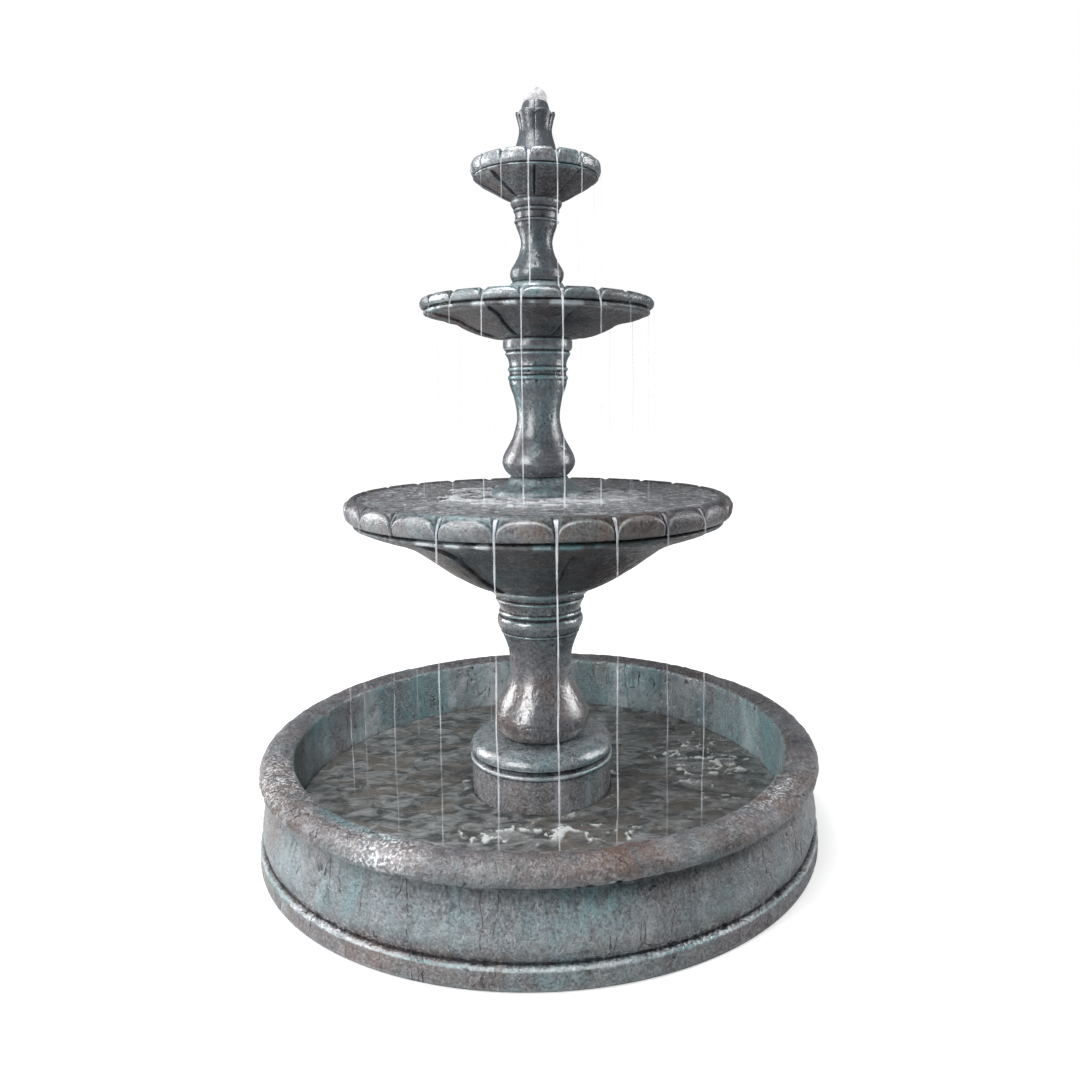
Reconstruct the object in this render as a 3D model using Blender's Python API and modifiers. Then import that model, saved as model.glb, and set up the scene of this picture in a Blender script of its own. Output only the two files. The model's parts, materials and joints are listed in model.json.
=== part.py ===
"""Three-tier garden fountain in cast stone, with its pump and pipework.

Metres, +Z up, front towards -Y. The origin is the centre of the pool's underside.
Every casting is a turned or lofted ring, so the riser tube can run up its middle.
"""
from math import cos, pi, radians, sin

import bmesh
import bpy
import numpy as np
from mathutils import Matrix, Vector

NAME = "tiered_water_fountain"
GAP = 0.0003              # clearance kept between pieces that touch

# Pool
POOL_R = 0.758            # base ring
POOL_TOP = 0.260          # crest of the rolled rim
POOL_INNER_R = 0.666
POOL_FLOOR = 0.030
DRAIN_XY = (-0.30, 0.34)
DRAIN_R = 0.0125
CORD_HOLE_Y = 0.300
CORD_HOLE_R = 0.0185
CHANNEL_W = 0.016
CHANNEL_H = 0.012

# Pump housing, the drum in the pool
SHIM_H = 0.0027
DRUM_R = 0.1945
DRUM_INNER_R = 0.1545
DRUM_BOTTOM = POOL_FLOOR + SHIM_H + 2 * GAP
DRUM_TOP = 0.249
DRUM_CEILING = 0.205
DOOR_HALF_W = 0.075
DOOR_LOW, DOOR_HIGH = 0.050, 0.160
FINGER_HOLE_R = 0.011
FINGER_HOLE_Z = 0.105

# Stacked castings: the foot and the top of each, with a soft seal between
SEAL_H = 0.003
LOWER_COLUMN_TOP = 0.668
LOWER_BOWL_FOOT = 0.672
LOWER_HUB_TOP = 0.970
MIDDLE_COLUMN_TOP = 1.338
MIDDLE_BOWL_FOOT = 1.342
MIDDLE_HUB_TOP = 1.4855
UPPER_COLUMN_TOP = 1.6975
UPPER_BOWL_FOOT = 1.701
UPPER_HUB_TOP = 1.800
FINIAL_TOP = 1.949
COLUMN_BORE_R = 0.0145
HUB_BORE_R = 0.0185

# Petals round each rim, and the azimuth of one notch, measured from the front
LOWER_PETALS, LOWER_NOTCH = 24, 6.3
MIDDLE_PETALS, MIDDLE_NOTCH = 20, -4.7
UPPER_PETALS, UPPER_NOTCH = 15, -3.9
TULIP_PETALS, TULIP_NOTCH = 6, 0.0

# Pipework
TUBE_R = 0.0095
TUBE_BORE_R = 0.0065
TUBE_TOP = 1.916
STOPPER_H = 0.020

# Pump, with its shaft along Y at this height
PUMP_Z = 0.0645
PUMP_HALF_H = 0.025
VOLUTE_HALF_W = 0.026
VOLUTE_Y = (-0.0130, 0.0130)
MOTOR_HALF_W = 0.027
MOTOR_Y = (0.0133, 0.0930)
ROTOR_BORE_R = 0.0136
SHAFT_R = 0.0017
IMPELLER_R = 0.0175
STRAINER_Y = (-0.0440, -0.0133)
STRAINER_HALF_W = 0.028
STRAINER_HALF_H = 0.0245
STRAINER_WALL = 0.0022
DIAL_Z = 0.0780
DIAL_R = 0.0075
SCREW_XZ = (0.0215, 0.0190)
FOOT_R = 0.009
CLAMP_Z = (0.110, 0.118)

# Colour, roughness and metallic value of each material
LOOKS = {
    "cast_stone": ((0.28, 0.31, 0.33), 0.45, 0.0),
    "rubber": ((0.030, 0.030, 0.032), 0.70, 0.0),
    "vinyl": ((0.42, 0.47, 0.46), 0.35, 0.0),
    "shim_plastic": ((0.10, 0.10, 0.11), 0.55, 0.0),
    "pump_plastic": ((0.025, 0.028, 0.032), 0.40, 0.0),
    "dial_plastic": ((0.05, 0.16, 0.36), 0.40, 0.0),
    "impeller_plastic": ((0.80, 0.80, 0.78), 0.45, 0.0),
    "ferrite": ((0.06, 0.06, 0.06), 0.50, 0.3),
    "ceramic": ((0.88, 0.87, 0.84), 0.25, 0.0),
    "stainless": ((0.62, 0.62, 0.62), 0.28, 1.0),
}


# ---------------------------------------------------------------- scene and materials

def clear_scene():
    for obj in list(bpy.data.objects):
        bpy.data.objects.remove(obj, do_unlink=True)


def new_collection(name):
    collection = bpy.data.collections.new(name)
    bpy.context.scene.collection.children.link(collection)
    return collection


clear_scene()
PARTS = new_collection(NAME)
CUTTERS = new_collection("cutters")
CUTTERS.hide_render = True


def look(name):
    material = bpy.data.materials.get(name)
    if material:
        return material
    colour, roughness, metallic = LOOKS[name]
    material = bpy.data.materials.new(name)
    material.use_nodes = True
    shader = material.node_tree.nodes["Principled BSDF"]
    shader.inputs["Base Color"].default_value = (*colour, 1)
    shader.inputs["Roughness"].default_value = roughness
    shader.inputs["Metallic"].default_value = metallic
    return material


# ---------------------------------------------------------------- modelling tools

def add_object(name, mesh, finish=None):
    """Link a mesh as a part, or as a hidden cutter when it has no finish."""
    obj = bpy.data.objects.new(name, mesh)
    if finish:
        mesh.materials.append(look(finish))
        PARTS.objects.link(obj)
    else:
        CUTTERS.objects.link(obj)
        obj.hide_render = True
        obj.display_type = "WIRE"
    return obj


def mesh_from(name, bm, smooth=True):
    mesh = bpy.data.meshes.new(name)
    bm.to_mesh(mesh)
    bm.free()
    if smooth:
        mesh.shade_smooth()
        mesh.set_sharp_from_angle(angle=radians(40))
    return mesh


def smooth_run(points, cuts=1):
    """A Catmull-Rom curve through the points, with this many points added in each span."""
    run = [np.array(p, dtype=float) for p in points]
    run = [2 * run[0] - run[1]] + run + [2 * run[-1] - run[-2]]
    curve = []
    for a, b, c, d in zip(run, run[1:], run[2:], run[3:]):
        for k in range(cuts + 1):
            t = k / (cuts + 1)
            bend = (2 * a - 5 * b + 4 * c - d) * t * t + (3 * b - a - 3 * c + d) * t ** 3
            curve.append(tuple(0.5 * (2 * b + (c - a) * t + bend)))
    return curve + [tuple(run[-2])]


def turned(name, outline, finish=None, steps=24):
    """Turn an outline of (radius, height) points, which runs down its outer side."""
    mesh = bpy.data.meshes.new(name)
    count = len(outline)
    closed = outline[0][0] > 0
    edges = [(i, (i + 1) % count) for i in range(count if closed else count - 1)]
    mesh.from_pydata([(r, 0, z) for r, z in outline], edges, [])
    obj = add_object(name, mesh, finish)
    screw = obj.modifiers.new("turn", "SCREW")
    screw.axis = "Z"
    screw.steps = steps
    screw.render_steps = steps
    screw.use_smooth_shade = True
    screw.use_merge_vertices = True
    screw.merge_threshold = 0.00001
    return obj


def ring(outer_r, inner_r, low, high):
    """The outline of a plain ring."""
    return [(outer_r, high), (outer_r, low), (inner_r, low), (inner_r, high)]


def rod(radius, low, high):
    """The outline of a plain cylinder."""
    return [(0, high), (radius, high), (radius, low), (0, low)]


def along_y(obj, x=0.0, z=PUMP_Z):
    """Lay a turned piece down so that its own height runs along +Y."""
    obj.rotation_euler = (-pi / 2, 0, 0)
    obj.location = (x, 0, z)
    return obj


def box(name, low, high, finish=None, bevel=0.0):
    low, high = Vector(low), Vector(high)
    bm = bmesh.new()
    bmesh.ops.create_cube(bm, size=1)
    size = Matrix.Diagonal(high - low).to_4x4()
    bmesh.ops.transform(bm, matrix=Matrix.Translation((low + high) / 2) @ size, verts=bm.verts)
    obj = add_object(name, mesh_from(name, bm, smooth=False), finish)
    if bevel:
        modifier = obj.modifiers.new("rounded edges", "BEVEL")
        modifier.width = bevel
        modifier.segments = 2
    return obj


def combine(target, other, operation="DIFFERENCE"):
    modifier = target.modifiers.new(other.name, "BOOLEAN")
    modifier.operation = operation
    modifier.object = other


def evaluated_mesh(source):
    bpy.context.view_layer.update()
    evaluated = source.evaluated_get(bpy.context.evaluated_depsgraph_get())
    return bpy.data.meshes.new_from_object(evaluated)


def repeated(name, source, matrices):
    """Numbered copies of a source part, one for each matrix. The source is removed."""
    mesh = evaluated_mesh(source)
    mesh.transform(source.matrix_world)
    for number, matrix in enumerate(matrices, start=1):
        copy = bpy.data.objects.new(f"{name}_{number}", mesh)
        copy.matrix_world = matrix
        PARTS.objects.link(copy)
    bpy.data.objects.remove(source)


def repeated_cutter(name, source, matrices):
    """One cutter made of separate copies of a source cutter, which is removed."""
    mesh = evaluated_mesh(source)
    bm = bmesh.new()
    for matrix in matrices:
        copy = mesh.copy()
        copy.transform(matrix @ source.matrix_world)
        bm.from_mesh(copy)
        bpy.data.meshes.remove(copy)
    bpy.data.objects.remove(source)
    return add_object(name, mesh_from(name, bm, smooth=False))


def petal_dip(position, count, notch):
    """How far a rim dips: 0 at the crown of a petal and 1 in the notch beside it."""
    across = ((position - radians(notch - 90)) * count / (2 * pi)) % 1
    return 1 - (1 - abs(2 * across - 1) ** 3) ** 0.5


def petal_azimuths(count, notch, samples):
    """Azimuths round a rim, with the same few samples across each petal."""
    start = radians(notch - 90)
    return [start + (k + t) * 2 * pi / count for k in range(count) for t in samples]


def lofted(name, section, azimuths, finish):
    """A closed ring of quads. section(azimuth) gives its outline, down its outer side first."""
    outlines = [section(a) for a in azimuths]
    size, count = len(outlines[0]), len(azimuths)
    bm = bmesh.new()
    verts = [bm.verts.new((r * cos(a), r * sin(a), z))
             for a, outline in zip(azimuths, outlines) for r, z in outline]
    for k in range(count):
        for j in range(size):
            here, there = k * size, (k + 1) % count * size
            below = (j + 1) % size
            bm.faces.new([verts[i] for i in (here + j, here + below, there + below, there + j)])
    return add_object(name, mesh_from(name, bm), finish)


def scalloped_bowl(name, petals, notch, rim, underside, inside, hub, foot):
    """A bowl whose rim is a ring of petals.

    rim is [(radius, height, sideways dip, downward dip), ...] from the inner lip over the
    crown and down to the ledge. underside runs on from there to the foot, and inside from
    the hub's bore, over the hub, out to the rim again.
    """
    def section(azimuth):
        dip = petal_dip(azimuth, petals, notch)
        edge = [(r - side * dip, z - down * dip) for r, z, side, down in rim]
        return edge + underside + [(HUB_BORE_R, foot), (HUB_BORE_R, hub)] + inside

    samples = (0, 0.18, 0.82)
    return lofted(name, section, petal_azimuths(petals, notch, samples), "cast_stone")


# ---------------------------------------------------------------- pool and pump housing

def make_pool():
    roll = smooth_run([(0.705, POOL_TOP), (0.737, 0.254), (0.753, 0.232), (0.739, 0.2105)])
    wall = smooth_run([(0.729, 0.198), (0.741, 0.148), (0.7506, 0.095), (0.741, 0.054)])
    outline = [(0, POOL_FLOOR), (0.645, POOL_FLOOR), (POOL_INNER_R, 0.042),
               (POOL_INNER_R, 0.244), (0.680, 0.2565)]
    outline += roll + wall
    outline += [(POOL_R - 0.001, 0.050), (POOL_R, 0.046), (POOL_R, 0.006),
                (POOL_R - 0.006, 0), (0, 0)]
    pool = turned("pool_basin", outline, "cast_stone", steps=48)

    drain = turned("drain_cutter", rod(DRAIN_R, -0.01, 0.05), steps=16)
    drain.location = (*DRAIN_XY, 0)
    cord = turned("cord_hole_cutter", rod(CORD_HOLE_R, CHANNEL_H / 2, 0.05), steps=16)
    cord.location = (0, CORD_HOLE_Y, 0)
    channel = box("cord_channel_cutter", (-CHANNEL_W / 2, CORD_HOLE_Y - 0.01, -0.01),
                  (CHANNEL_W / 2, POOL_R + 0.01, CHANNEL_H))
    for cutter in (drain, cord, channel):
        combine(pool, cutter)

    flange = POOL_FLOOR + GAP
    plug = turned("drain_plug", [
        (0, 0.048), (0.004, 0.047), (0.0062, 0.044), (0.0035, 0.040), (0.0045, 0.036),
        (0.0165, 0.0345), (0.0175, flange), (DRAIN_R - GAP, flange), (DRAIN_R - 0.0010, 0.004),
        (0, 0.004)], "rubber", steps=16)
    plug.location = (*DRAIN_XY, 0)
    stopper = turned("cord_stopper", [
        (0.0205, 0.0335), (0.0215, flange), (CORD_HOLE_R - GAP, flange),
        (CORD_HOLE_R - 0.0012, CHANNEL_H + 0.001), (0.0035, CHANNEL_H + 0.001),
        (0.0035, 0.0335)], "rubber", steps=16)
    stopper.location = (0, CORD_HOLE_Y, 0)


def make_pump_housing():
    shoulder = smooth_run([(0.150, DRUM_TOP), (0.182, 0.240), (0.1985, 0.2225)])
    outline = [(0.030, DRUM_TOP)] + shoulder + [
        (0.1995, 0.216), (0.1965, 0.209), (0.1915, 0.204), (0.1925, 0.197), (0.1985, 0.189),
        (0.1955, 0.183), (DRUM_R, 0.160), (DRUM_R, 0.110), (0.1925, DRUM_BOTTOM),
        (DRUM_INNER_R, DRUM_BOTTOM), (DRUM_INNER_R, DRUM_CEILING), (0.030, DRUM_CEILING)]
    housing = turned("pump_housing", outline, "cast_stone", steps=32)
    opening = box("door_opening_cutter", (-DOOR_HALF_W, 0.100, DOOR_LOW),
                  (DOOR_HALF_W, 0.250, DOOR_HIGH))
    combine(housing, opening)

    low, high = DOOR_LOW + 2 * GAP, DOOR_HIGH - 2 * GAP
    half = DOOR_HALF_W - 2 * GAP
    slab = [(DRUM_R, high), (DRUM_R, 0.110), (0.1928, low), (DRUM_INNER_R, low),
            (DRUM_INNER_R, high)]
    door = turned("access_door", slab, "cast_stone", steps=32)
    combine(door, box("door_limits", (-half, 0.100, low - 0.01), (half, 0.250, high + 0.01)),
            "INTERSECT")
    finger_hole = turned("finger_hole_cutter", rod(FINGER_HOLE_R, 0.100, 0.250), steps=12)
    along_y(finger_hole, z=FINGER_HOLE_Z)
    combine(door, finger_hole)


def make_shims():
    low = POOL_FLOOR + GAP
    shim = box("shim", (0.158, -0.016, low), (0.190, 0.016, low + SHIM_H), "shim_plastic")
    for vertex in shim.data.vertices:
        if vertex.co.x < 0.17 and vertex.co.z > low + SHIM_H / 2:
            vertex.co.z -= 0.0012
    turns = [Matrix.Rotation(radians(a), 4, "Z") for a in (30, 150, 270)]
    repeated("levelling_shim", shim, turns)


# ---------------------------------------------------------------- columns, bowls and finial

def make_lower_column():
    foot = DRUM_TOP + SEAL_H + 2 * GAP
    lip = [(0.1345, LOWER_COLUMN_TOP), (0.1345, 0.660)]
    neck = smooth_run([(0.1263, 0.648), (0.1200, 0.631), (0.1112, 0.604), (0.1120, 0.592)], 0)
    bead = smooth_run([(0.1170, 0.584), (0.1183, 0.573), (0.1142, 0.554)], 0)
    waist = smooth_run([(0.1080, 0.5425), (0.0991, 0.5197), (0.0872, 0.485), (0.0862, 0.440),
                        (0.0955, 0.398), (0.1190, 0.345)], 0)
    bulb = smooth_run([(0.1305, 0.314), (0.1330, 0.2956), (0.1270, 0.272), (0.1150, foot)], 0)
    outline = lip + neck + bead + waist + bulb
    outline += [(COLUMN_BORE_R, foot), (COLUMN_BORE_R, LOWER_COLUMN_TOP)]
    turned("lower_column", outline, "cast_stone", steps=28)


def make_middle_column():
    foot = LOWER_HUB_TOP + SEAL_H + 2 * GAP
    lip = [(0.0928, MIDDLE_COLUMN_TOP), (0.0928, 1.312)]
    neck = [(0.0862, 1.298), (0.0775, 1.284), (0.0768, 1.270), (0.0809, 1.258),
            (0.0783, 1.246), (0.0812, 1.234)]
    waist = smooth_run([(0.0770, 1.2177), (0.0663, 1.1857), (0.0583, 1.137), (0.0639, 1.0965),
                        (0.0817, 1.0554)], 0)
    bulb = smooth_run([(0.0954, 1.031), (0.0996, 1.0104), (0.0920, 0.988), (0.0785, foot)], 0)
    outline = lip + neck + waist + bulb
    outline += [(COLUMN_BORE_R, foot), (COLUMN_BORE_R, MIDDLE_COLUMN_TOP)]
    turned("middle_column", outline, "cast_stone", steps=24)


def make_upper_column():
    foot = MIDDLE_HUB_TOP + SEAL_H + 2 * GAP
    lip = [(0.0674, UPPER_COLUMN_TOP), (0.0648, 1.6825), (0.0600, 1.6735), (0.0569, 1.667),
           (0.0569, 1.643)]
    waist = smooth_run([(0.0530, 1.632), (0.0450, 1.609), (0.0424, 1.590), (0.0479, 1.5659),
                        (0.0600, 1.538)], 0)
    bulb = smooth_run([(0.0700, 1.522), (0.0719, 1.5105), (0.0680, foot)], 0)
    outline = lip + waist + bulb
    outline += [(COLUMN_BORE_R, foot), (COLUMN_BORE_R, UPPER_COLUMN_TOP)]
    turned("upper_column", outline, "cast_stone", steps=20)


def make_bowls():
    scalloped_bowl(
        "lower_bowl", LOWER_PETALS, LOWER_NOTCH,
        rim=[(0.484, 0.916, 0, 0.012), (0.498, 0.9246, 0, 0.022), (0.513, 0.914, 0.004, 0.020),
             (0.521, 0.888, 0.010, 0.006), (0.496, 0.866, 0, 0)],
        underside=[(0.489, 0.835), (0.457, 0.816), (0.369, 0.783), (0.208, 0.690),
                   (0.158, LOWER_BOWL_FOOT)],
        inside=[(0.079, LOWER_HUB_TOP), (0.098, 0.957), (0.125, 0.925), (0.138, 0.790),
                (0.170, 0.728), (0.215, 0.732), (0.430, 0.842)],
        hub=LOWER_HUB_TOP, foot=LOWER_BOWL_FOOT)
    scalloped_bowl(
        "middle_bowl", MIDDLE_PETALS, MIDDLE_NOTCH,
        rim=[(0.286, 1.437, 0, 0.006), (0.296, 1.4440, 0, 0.014), (0.305, 1.440, 0.003, 0.014),
             (0.3105, 1.431, 0.006, 0.004), (0.3010, 1.415, 0, 0)],
        underside=[(0.292, 1.401), (0.229, 1.385), (0.161, 1.354), (0.120, MIDDLE_BOWL_FOOT)],
        inside=[(0.070, MIDDLE_HUB_TOP), (0.082, 1.465), (0.092, 1.430), (0.106, 1.374),
                (0.150, 1.378), (0.225, 1.408)],
        hub=MIDDLE_HUB_TOP, foot=MIDDLE_BOWL_FOOT)
    scalloped_bowl(
        "upper_bowl", UPPER_PETALS, UPPER_NOTCH,
        rim=[(0.152, 1.789, 0, 0.006), (0.159, 1.7970, 0, 0.014), (0.167, 1.793, 0.003, 0.014),
             (0.171, 1.777, 0.004, 0.004), (0.1665, 1.759, 0, 0)],
        underside=[(0.146, 1.7435), (0.0937, 1.713), (0.0674, UPPER_BOWL_FOOT)],
        inside=[(0.060, UPPER_HUB_TOP), (0.063, 1.785), (0.070, 1.746), (0.090, 1.738),
                (0.128, 1.756)],
        hub=UPPER_HUB_TOP, foot=UPPER_BOWL_FOOT)


def make_finial():
    foot = UPPER_HUB_TOP + SEAL_H + 2 * GAP
    petals = [(0.0470, 1.921, 0.0090), (0.0536, 1.918, 0.0080), (0.0484, 1.9035, 0.0040),
              (0.0440, 1.885, 0.0012), (0.0440, 1.868, 0.0004), (0.0525, 1.8425, 0),
              (0.0580, 1.822, 0), (0.0560, foot, 0)]
    collar = [(0.0250, FINIAL_TOP), (0.0300, FINIAL_TOP), (0.0353, 1.941), (0.0405, 1.916)]
    cup = [(COLUMN_BORE_R, foot), (COLUMN_BORE_R, 1.910), (0.0200, 1.932)]

    def section(azimuth):
        dip = petal_dip(azimuth, TULIP_PETALS, TULIP_NOTCH)
        return collar + [(r - side * dip, z) for r, z, side in petals] + cup

    azimuths = petal_azimuths(TULIP_PETALS, TULIP_NOTCH, (0, 0.12, 0.35, 0.65, 0.88))
    lofted("finial", section, azimuths, "cast_stone")


def make_seals():
    seals = [("lower_column_seal", 0.112, DRUM_TOP), ("lower_bowl_seal", 0.128, LOWER_COLUMN_TOP),
             ("middle_column_seal", 0.074, LOWER_HUB_TOP),
             ("middle_bowl_seal", 0.088, MIDDLE_COLUMN_TOP),
             ("upper_column_seal", 0.064, MIDDLE_HUB_TOP),
             ("upper_bowl_seal", 0.063, UPPER_COLUMN_TOP), ("finial_seal", 0.053, UPPER_HUB_TOP)]
    for name, radius, below in seals:
        turned(name, ring(radius, 0.034, below + GAP, below + GAP + SEAL_H), "rubber", steps=16)


# ---------------------------------------------------------------- pipework

def make_pipework():
    tube = ring(TUBE_R, TUBE_BORE_R, 0.0942, TUBE_TOP)
    turned("riser_tube", tube, "vinyl", steps=16)
    stoppers = [("lower_stopper", LOWER_HUB_TOP), ("middle_stopper", MIDDLE_HUB_TOP),
                ("upper_stopper", UPPER_HUB_TOP)]
    for name, hub in stoppers:
        high = hub - 0.002
        outline = [(HUB_BORE_R - GAP, high), (HUB_BORE_R - 0.0015, high - STOPPER_H),
                   (TUBE_R + GAP, high - STOPPER_H), (TUBE_R + GAP, high)]
        turned(name, outline, "rubber", steps=16)


# ---------------------------------------------------------------- pump

def make_volute():
    bottom, top = PUMP_Z - PUMP_HALF_H, PUMP_Z + PUMP_HALF_H
    volute = box("volute", (-VOLUTE_HALF_W, VOLUTE_Y[0], bottom),
                 (VOLUTE_HALF_W, VOLUTE_Y[1], top), "pump_plastic", bevel=0.002)
    chamber = along_y(turned("chamber_cutter", rod(0.0205, -0.0085, 0.02), steps=20))
    intake = along_y(turned("intake_cutter", rod(0.008, -0.03, 0), steps=12))
    outlet = turned("outlet_cutter", rod(0.006, PUMP_Z, top + 0.01), steps=12)
    groove = along_y(turned("o_ring_groove_cutter", ring(0.0242, 0.0214, 0.0103, 0.02), steps=16))
    for cutter in (chamber, intake, outlet, groove, screw_hole_cutter("volute", 0.0016, 0.03)):
        combine(volute, cutter)

    section = [(0.0228 + 0.0011 * cos(a), 0.0118 - 0.0011 * sin(a))
               for a in np.linspace(0, 2 * pi, 5, endpoint=False)]
    along_y(turned("volute_o_ring", section, "rubber", steps=16))


def screw_hole_cutter(name, radius, depth):
    hole = along_y(turned(name + "_hole", rod(radius, -0.03, depth), steps=8), z=0)
    return repeated_cutter(name + "_screw_holes", hole, screw_places())


def screw_places():
    x, z = SCREW_XZ
    return [Matrix.Translation((i * x, 0, PUMP_Z + j * z)) for i in (-1, 1) for j in (-1, 1)]


def make_motor():
    bottom, top = PUMP_Z - PUMP_HALF_H, PUMP_Z + PUMP_HALF_H
    motor = box("motor_housing", (-MOTOR_HALF_W, MOTOR_Y[0], bottom),
                (MOTOR_HALF_W, MOTOR_Y[1], top), "pump_plastic", bevel=0.003)
    well = [(0, 0), (ROTOR_BORE_R, 0), (ROTOR_BORE_R, 0.0680), (0.0053, 0.0680),
            (0.0053, 0.0725), (0, 0.0725)]
    cutter = along_y(turned("rotor_well_cutter", well[::-1], steps=20))
    combine(motor, cutter)
    combine(motor, screw_hole_cutter("motor", 0.0015, 0.026))

    bush_bore = SHAFT_R + GAP
    along_y(turned("front_bush", ring(ROTOR_BORE_R - GAP, bush_bore, 0.0136, 0.0175),
                   "ceramic", steps=16))
    along_y(turned("rear_bush", ring(0.0050, bush_bore, 0.0683, 0.0722), "ceramic", steps=12))
    along_y(turned("rotor_shaft", rod(SHAFT_R, -0.0075, 0.0716), "ceramic", steps=8))
    along_y(turned("magnet_rotor", ring(0.0125, bush_bore, 0.0185, 0.0660), "ferrite", steps=20))

    gland = [(0.0030, 0.118), (0.0045, 0.117), (0.0058, 0.098), (0.0080, 0.0965),
             (0.0080, MOTOR_Y[1] + GAP), (0.0030, MOTOR_Y[1] + GAP)]
    along_y(turned("cord_gland", gland, "rubber", steps=12))


def make_impeller():
    """Six swept vanes on a hub, as one flat outline with a bore, extruded along the shaft."""
    hub_r, sweep = 0.0060, radians(14)
    outline = []
    for k in range(6):
        a = k * pi / 3
        outline += [(hub_r, a - radians(14)), (IMPELLER_R, a + sweep - radians(3)),
                    (IMPELLER_R, a + sweep + radians(3)), (hub_r, a + radians(14))]
    bore = [(SHAFT_R + GAP, a) for a in np.linspace(0, 2 * pi, 8, endpoint=False)]
    curve = bpy.data.curves.new("impeller", "CURVE")
    curve.dimensions = "2D"
    curve.fill_mode = "BOTH"
    curve.extrude = 0.008
    for loop in (outline, bore):
        spline = curve.splines.new("POLY")
        spline.points.add(len(loop) - 1)
        spline.use_cyclic_u = True
        for point, (r, a) in zip(spline.points, loop):
            point.co = (r * cos(a), r * sin(a), 0, 1)
    impeller = bpy.data.objects.new("impeller", curve)
    PARTS.objects.link(impeller)
    bpy.context.view_layer.update()
    evaluated = impeller.evaluated_get(bpy.context.evaluated_depsgraph_get())
    mesh = bpy.data.meshes.new_from_object(evaluated)
    bpy.data.objects.remove(impeller)
    bm = bmesh.new()
    bm.from_mesh(mesh)
    bmesh.ops.remove_doubles(bm, verts=bm.verts, dist=0.00001)
    solid = add_object("impeller", mesh_from("impeller", bm, smooth=False), "impeller_plastic")
    along_y(solid)
    solid.location.y = 0.0010


def make_strainer():
    low, high = PUMP_Z - STRAINER_HALF_H, PUMP_Z + STRAINER_HALF_H
    strainer = box("intake_strainer", (-STRAINER_HALF_W, STRAINER_Y[0], low),
                   (STRAINER_HALF_W, STRAINER_Y[1], high), "pump_plastic", bevel=0.002)
    inner = STRAINER_HALF_W - STRAINER_WALL
    front = STRAINER_Y[0] + STRAINER_WALL
    hollow = box("strainer_hollow_cutter", (-inner, front, low + STRAINER_WALL),
                 (inner, 0, high - STRAINER_WALL))
    combine(strainer, hollow)
    slot = box("slot", (-0.0013, STRAINER_Y[0] - 0.01, low + 0.005),
               (0.0013, front + 0.001, DIAL_Z - DIAL_R - 0.002))
    slots = repeated_cutter("strainer_slots_cutter", slot,
                            [Matrix.Translation((0.0065 * k, 0, 0)) for k in range(-3, 4)])
    combine(strainer, slots)
    pivot_hole = along_y(turned("dial_hole_cutter", rod(0.0024, -0.06, -0.03), steps=8), z=DIAL_Z)
    combine(strainer, pivot_hole)

    face = STRAINER_Y[0] - GAP
    knob = [(0, -0.0390), (0.0020, -0.0390), (0.0020, face), (DIAL_R, face),
            (DIAL_R, face - 0.0030), (DIAL_R - 0.0010, face - 0.0040), (0, face - 0.0040)]
    dial = along_y(turned("flow_dial", knob, "dial_plastic", steps=16), z=DIAL_Z)
    grip = box("dial_grip", (-0.0012, face - 0.0070, DIAL_Z - 0.0062),
               (0.0012, face - 0.0035, DIAL_Z + 0.0062))
    grip.data.transform(Matrix.Translation((0, 0, -DIAL_Z)))
    grip.location = (0, 0, DIAL_Z)
    combine(dial, grip, "UNION")


def make_outlet():
    base = PUMP_Z + PUMP_HALF_H + GAP
    barbs = []
    for k in range(3):
        root = 0.1255 - 0.0090 * k
        barbs += [(0.0052, root), (0.0062, root - 0.0075)]
    outline = [(0.0040, 0.1275), (0.0050, 0.1275)] + barbs + [
        (0.0054, 0.0980), (0.0054, 0.0936), (0.0095, 0.0936), (0.0095, base), (0.0057, base),
        (0.0057, 0.0862), (0.0040, 0.0862)]
    turned("outlet_barb", outline, "pump_plastic", steps=12)

    band = turned("hose_clamp", ring(TUBE_R + 0.0012, TUBE_R + GAP, *CLAMP_Z), "stainless",
                  steps=20)
    lug = box("clamp_lug", (-0.0060, -0.0172, CLAMP_Z[0]), (0.0060, -0.0102, CLAMP_Z[1]))
    combine(band, lug, "UNION")
    screw_y, screw_z = -0.0140, sum(CLAMP_Z) / 2
    hole = turned("clamp_screw_cutter", rod(0.0021, -0.02, 0.02), steps=8)
    screw = turned("clamp_screw", [(0, 0.0098), (0.0032, 0.0098), (0.0032, 0.0064),
                                   (0.0018, 0.0064), (0.0018, -0.0080), (0, -0.0080)],
                   "stainless", steps=8)
    for obj in (hole, screw):
        obj.rotation_euler = (0, pi / 2, 0)
        obj.location = (0, screw_y, screw_z)
    combine(band, hole)


def make_pump_fittings():
    screw = turned("screw", [(0, 0.024), (0.0012, 0.023), (0.0012, VOLUTE_Y[0] - GAP),
                             (0.0027, VOLUTE_Y[0] - GAP), (0.0025, VOLUTE_Y[0] - 0.0020),
                             (0, VOLUTE_Y[0] - 0.0022)], "stainless", steps=8)
    repeated("volute_screw", along_y(screw, z=0), screw_places())

    top = PUMP_Z - PUMP_HALF_H - GAP
    low = POOL_FLOOR + GAP
    foot = turned("foot", [(0, top), (0.0055, top), (0.0050, low + 0.0040), (FOOT_R, low + 0.0008),
                           (FOOT_R, low), (0, low)], "rubber", steps=12)
    places = [Matrix.Translation((x, y, 0)) for x in (-0.0165, 0.0165) for y in (0.024, 0.082)]
    repeated("pump_foot", foot, places)


# ---------------------------------------------------------------- the whole fountain

def main():
    make_pool()
    make_pump_housing()
    make_shims()
    make_lower_column()
    make_middle_column()
    make_upper_column()
    make_bowls()
    make_finial()
    make_seals()
    make_pipework()
    make_volute()
    make_motor()
    make_impeller()
    make_strainer()
    make_outlet()
    make_pump_fittings()


main()
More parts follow.
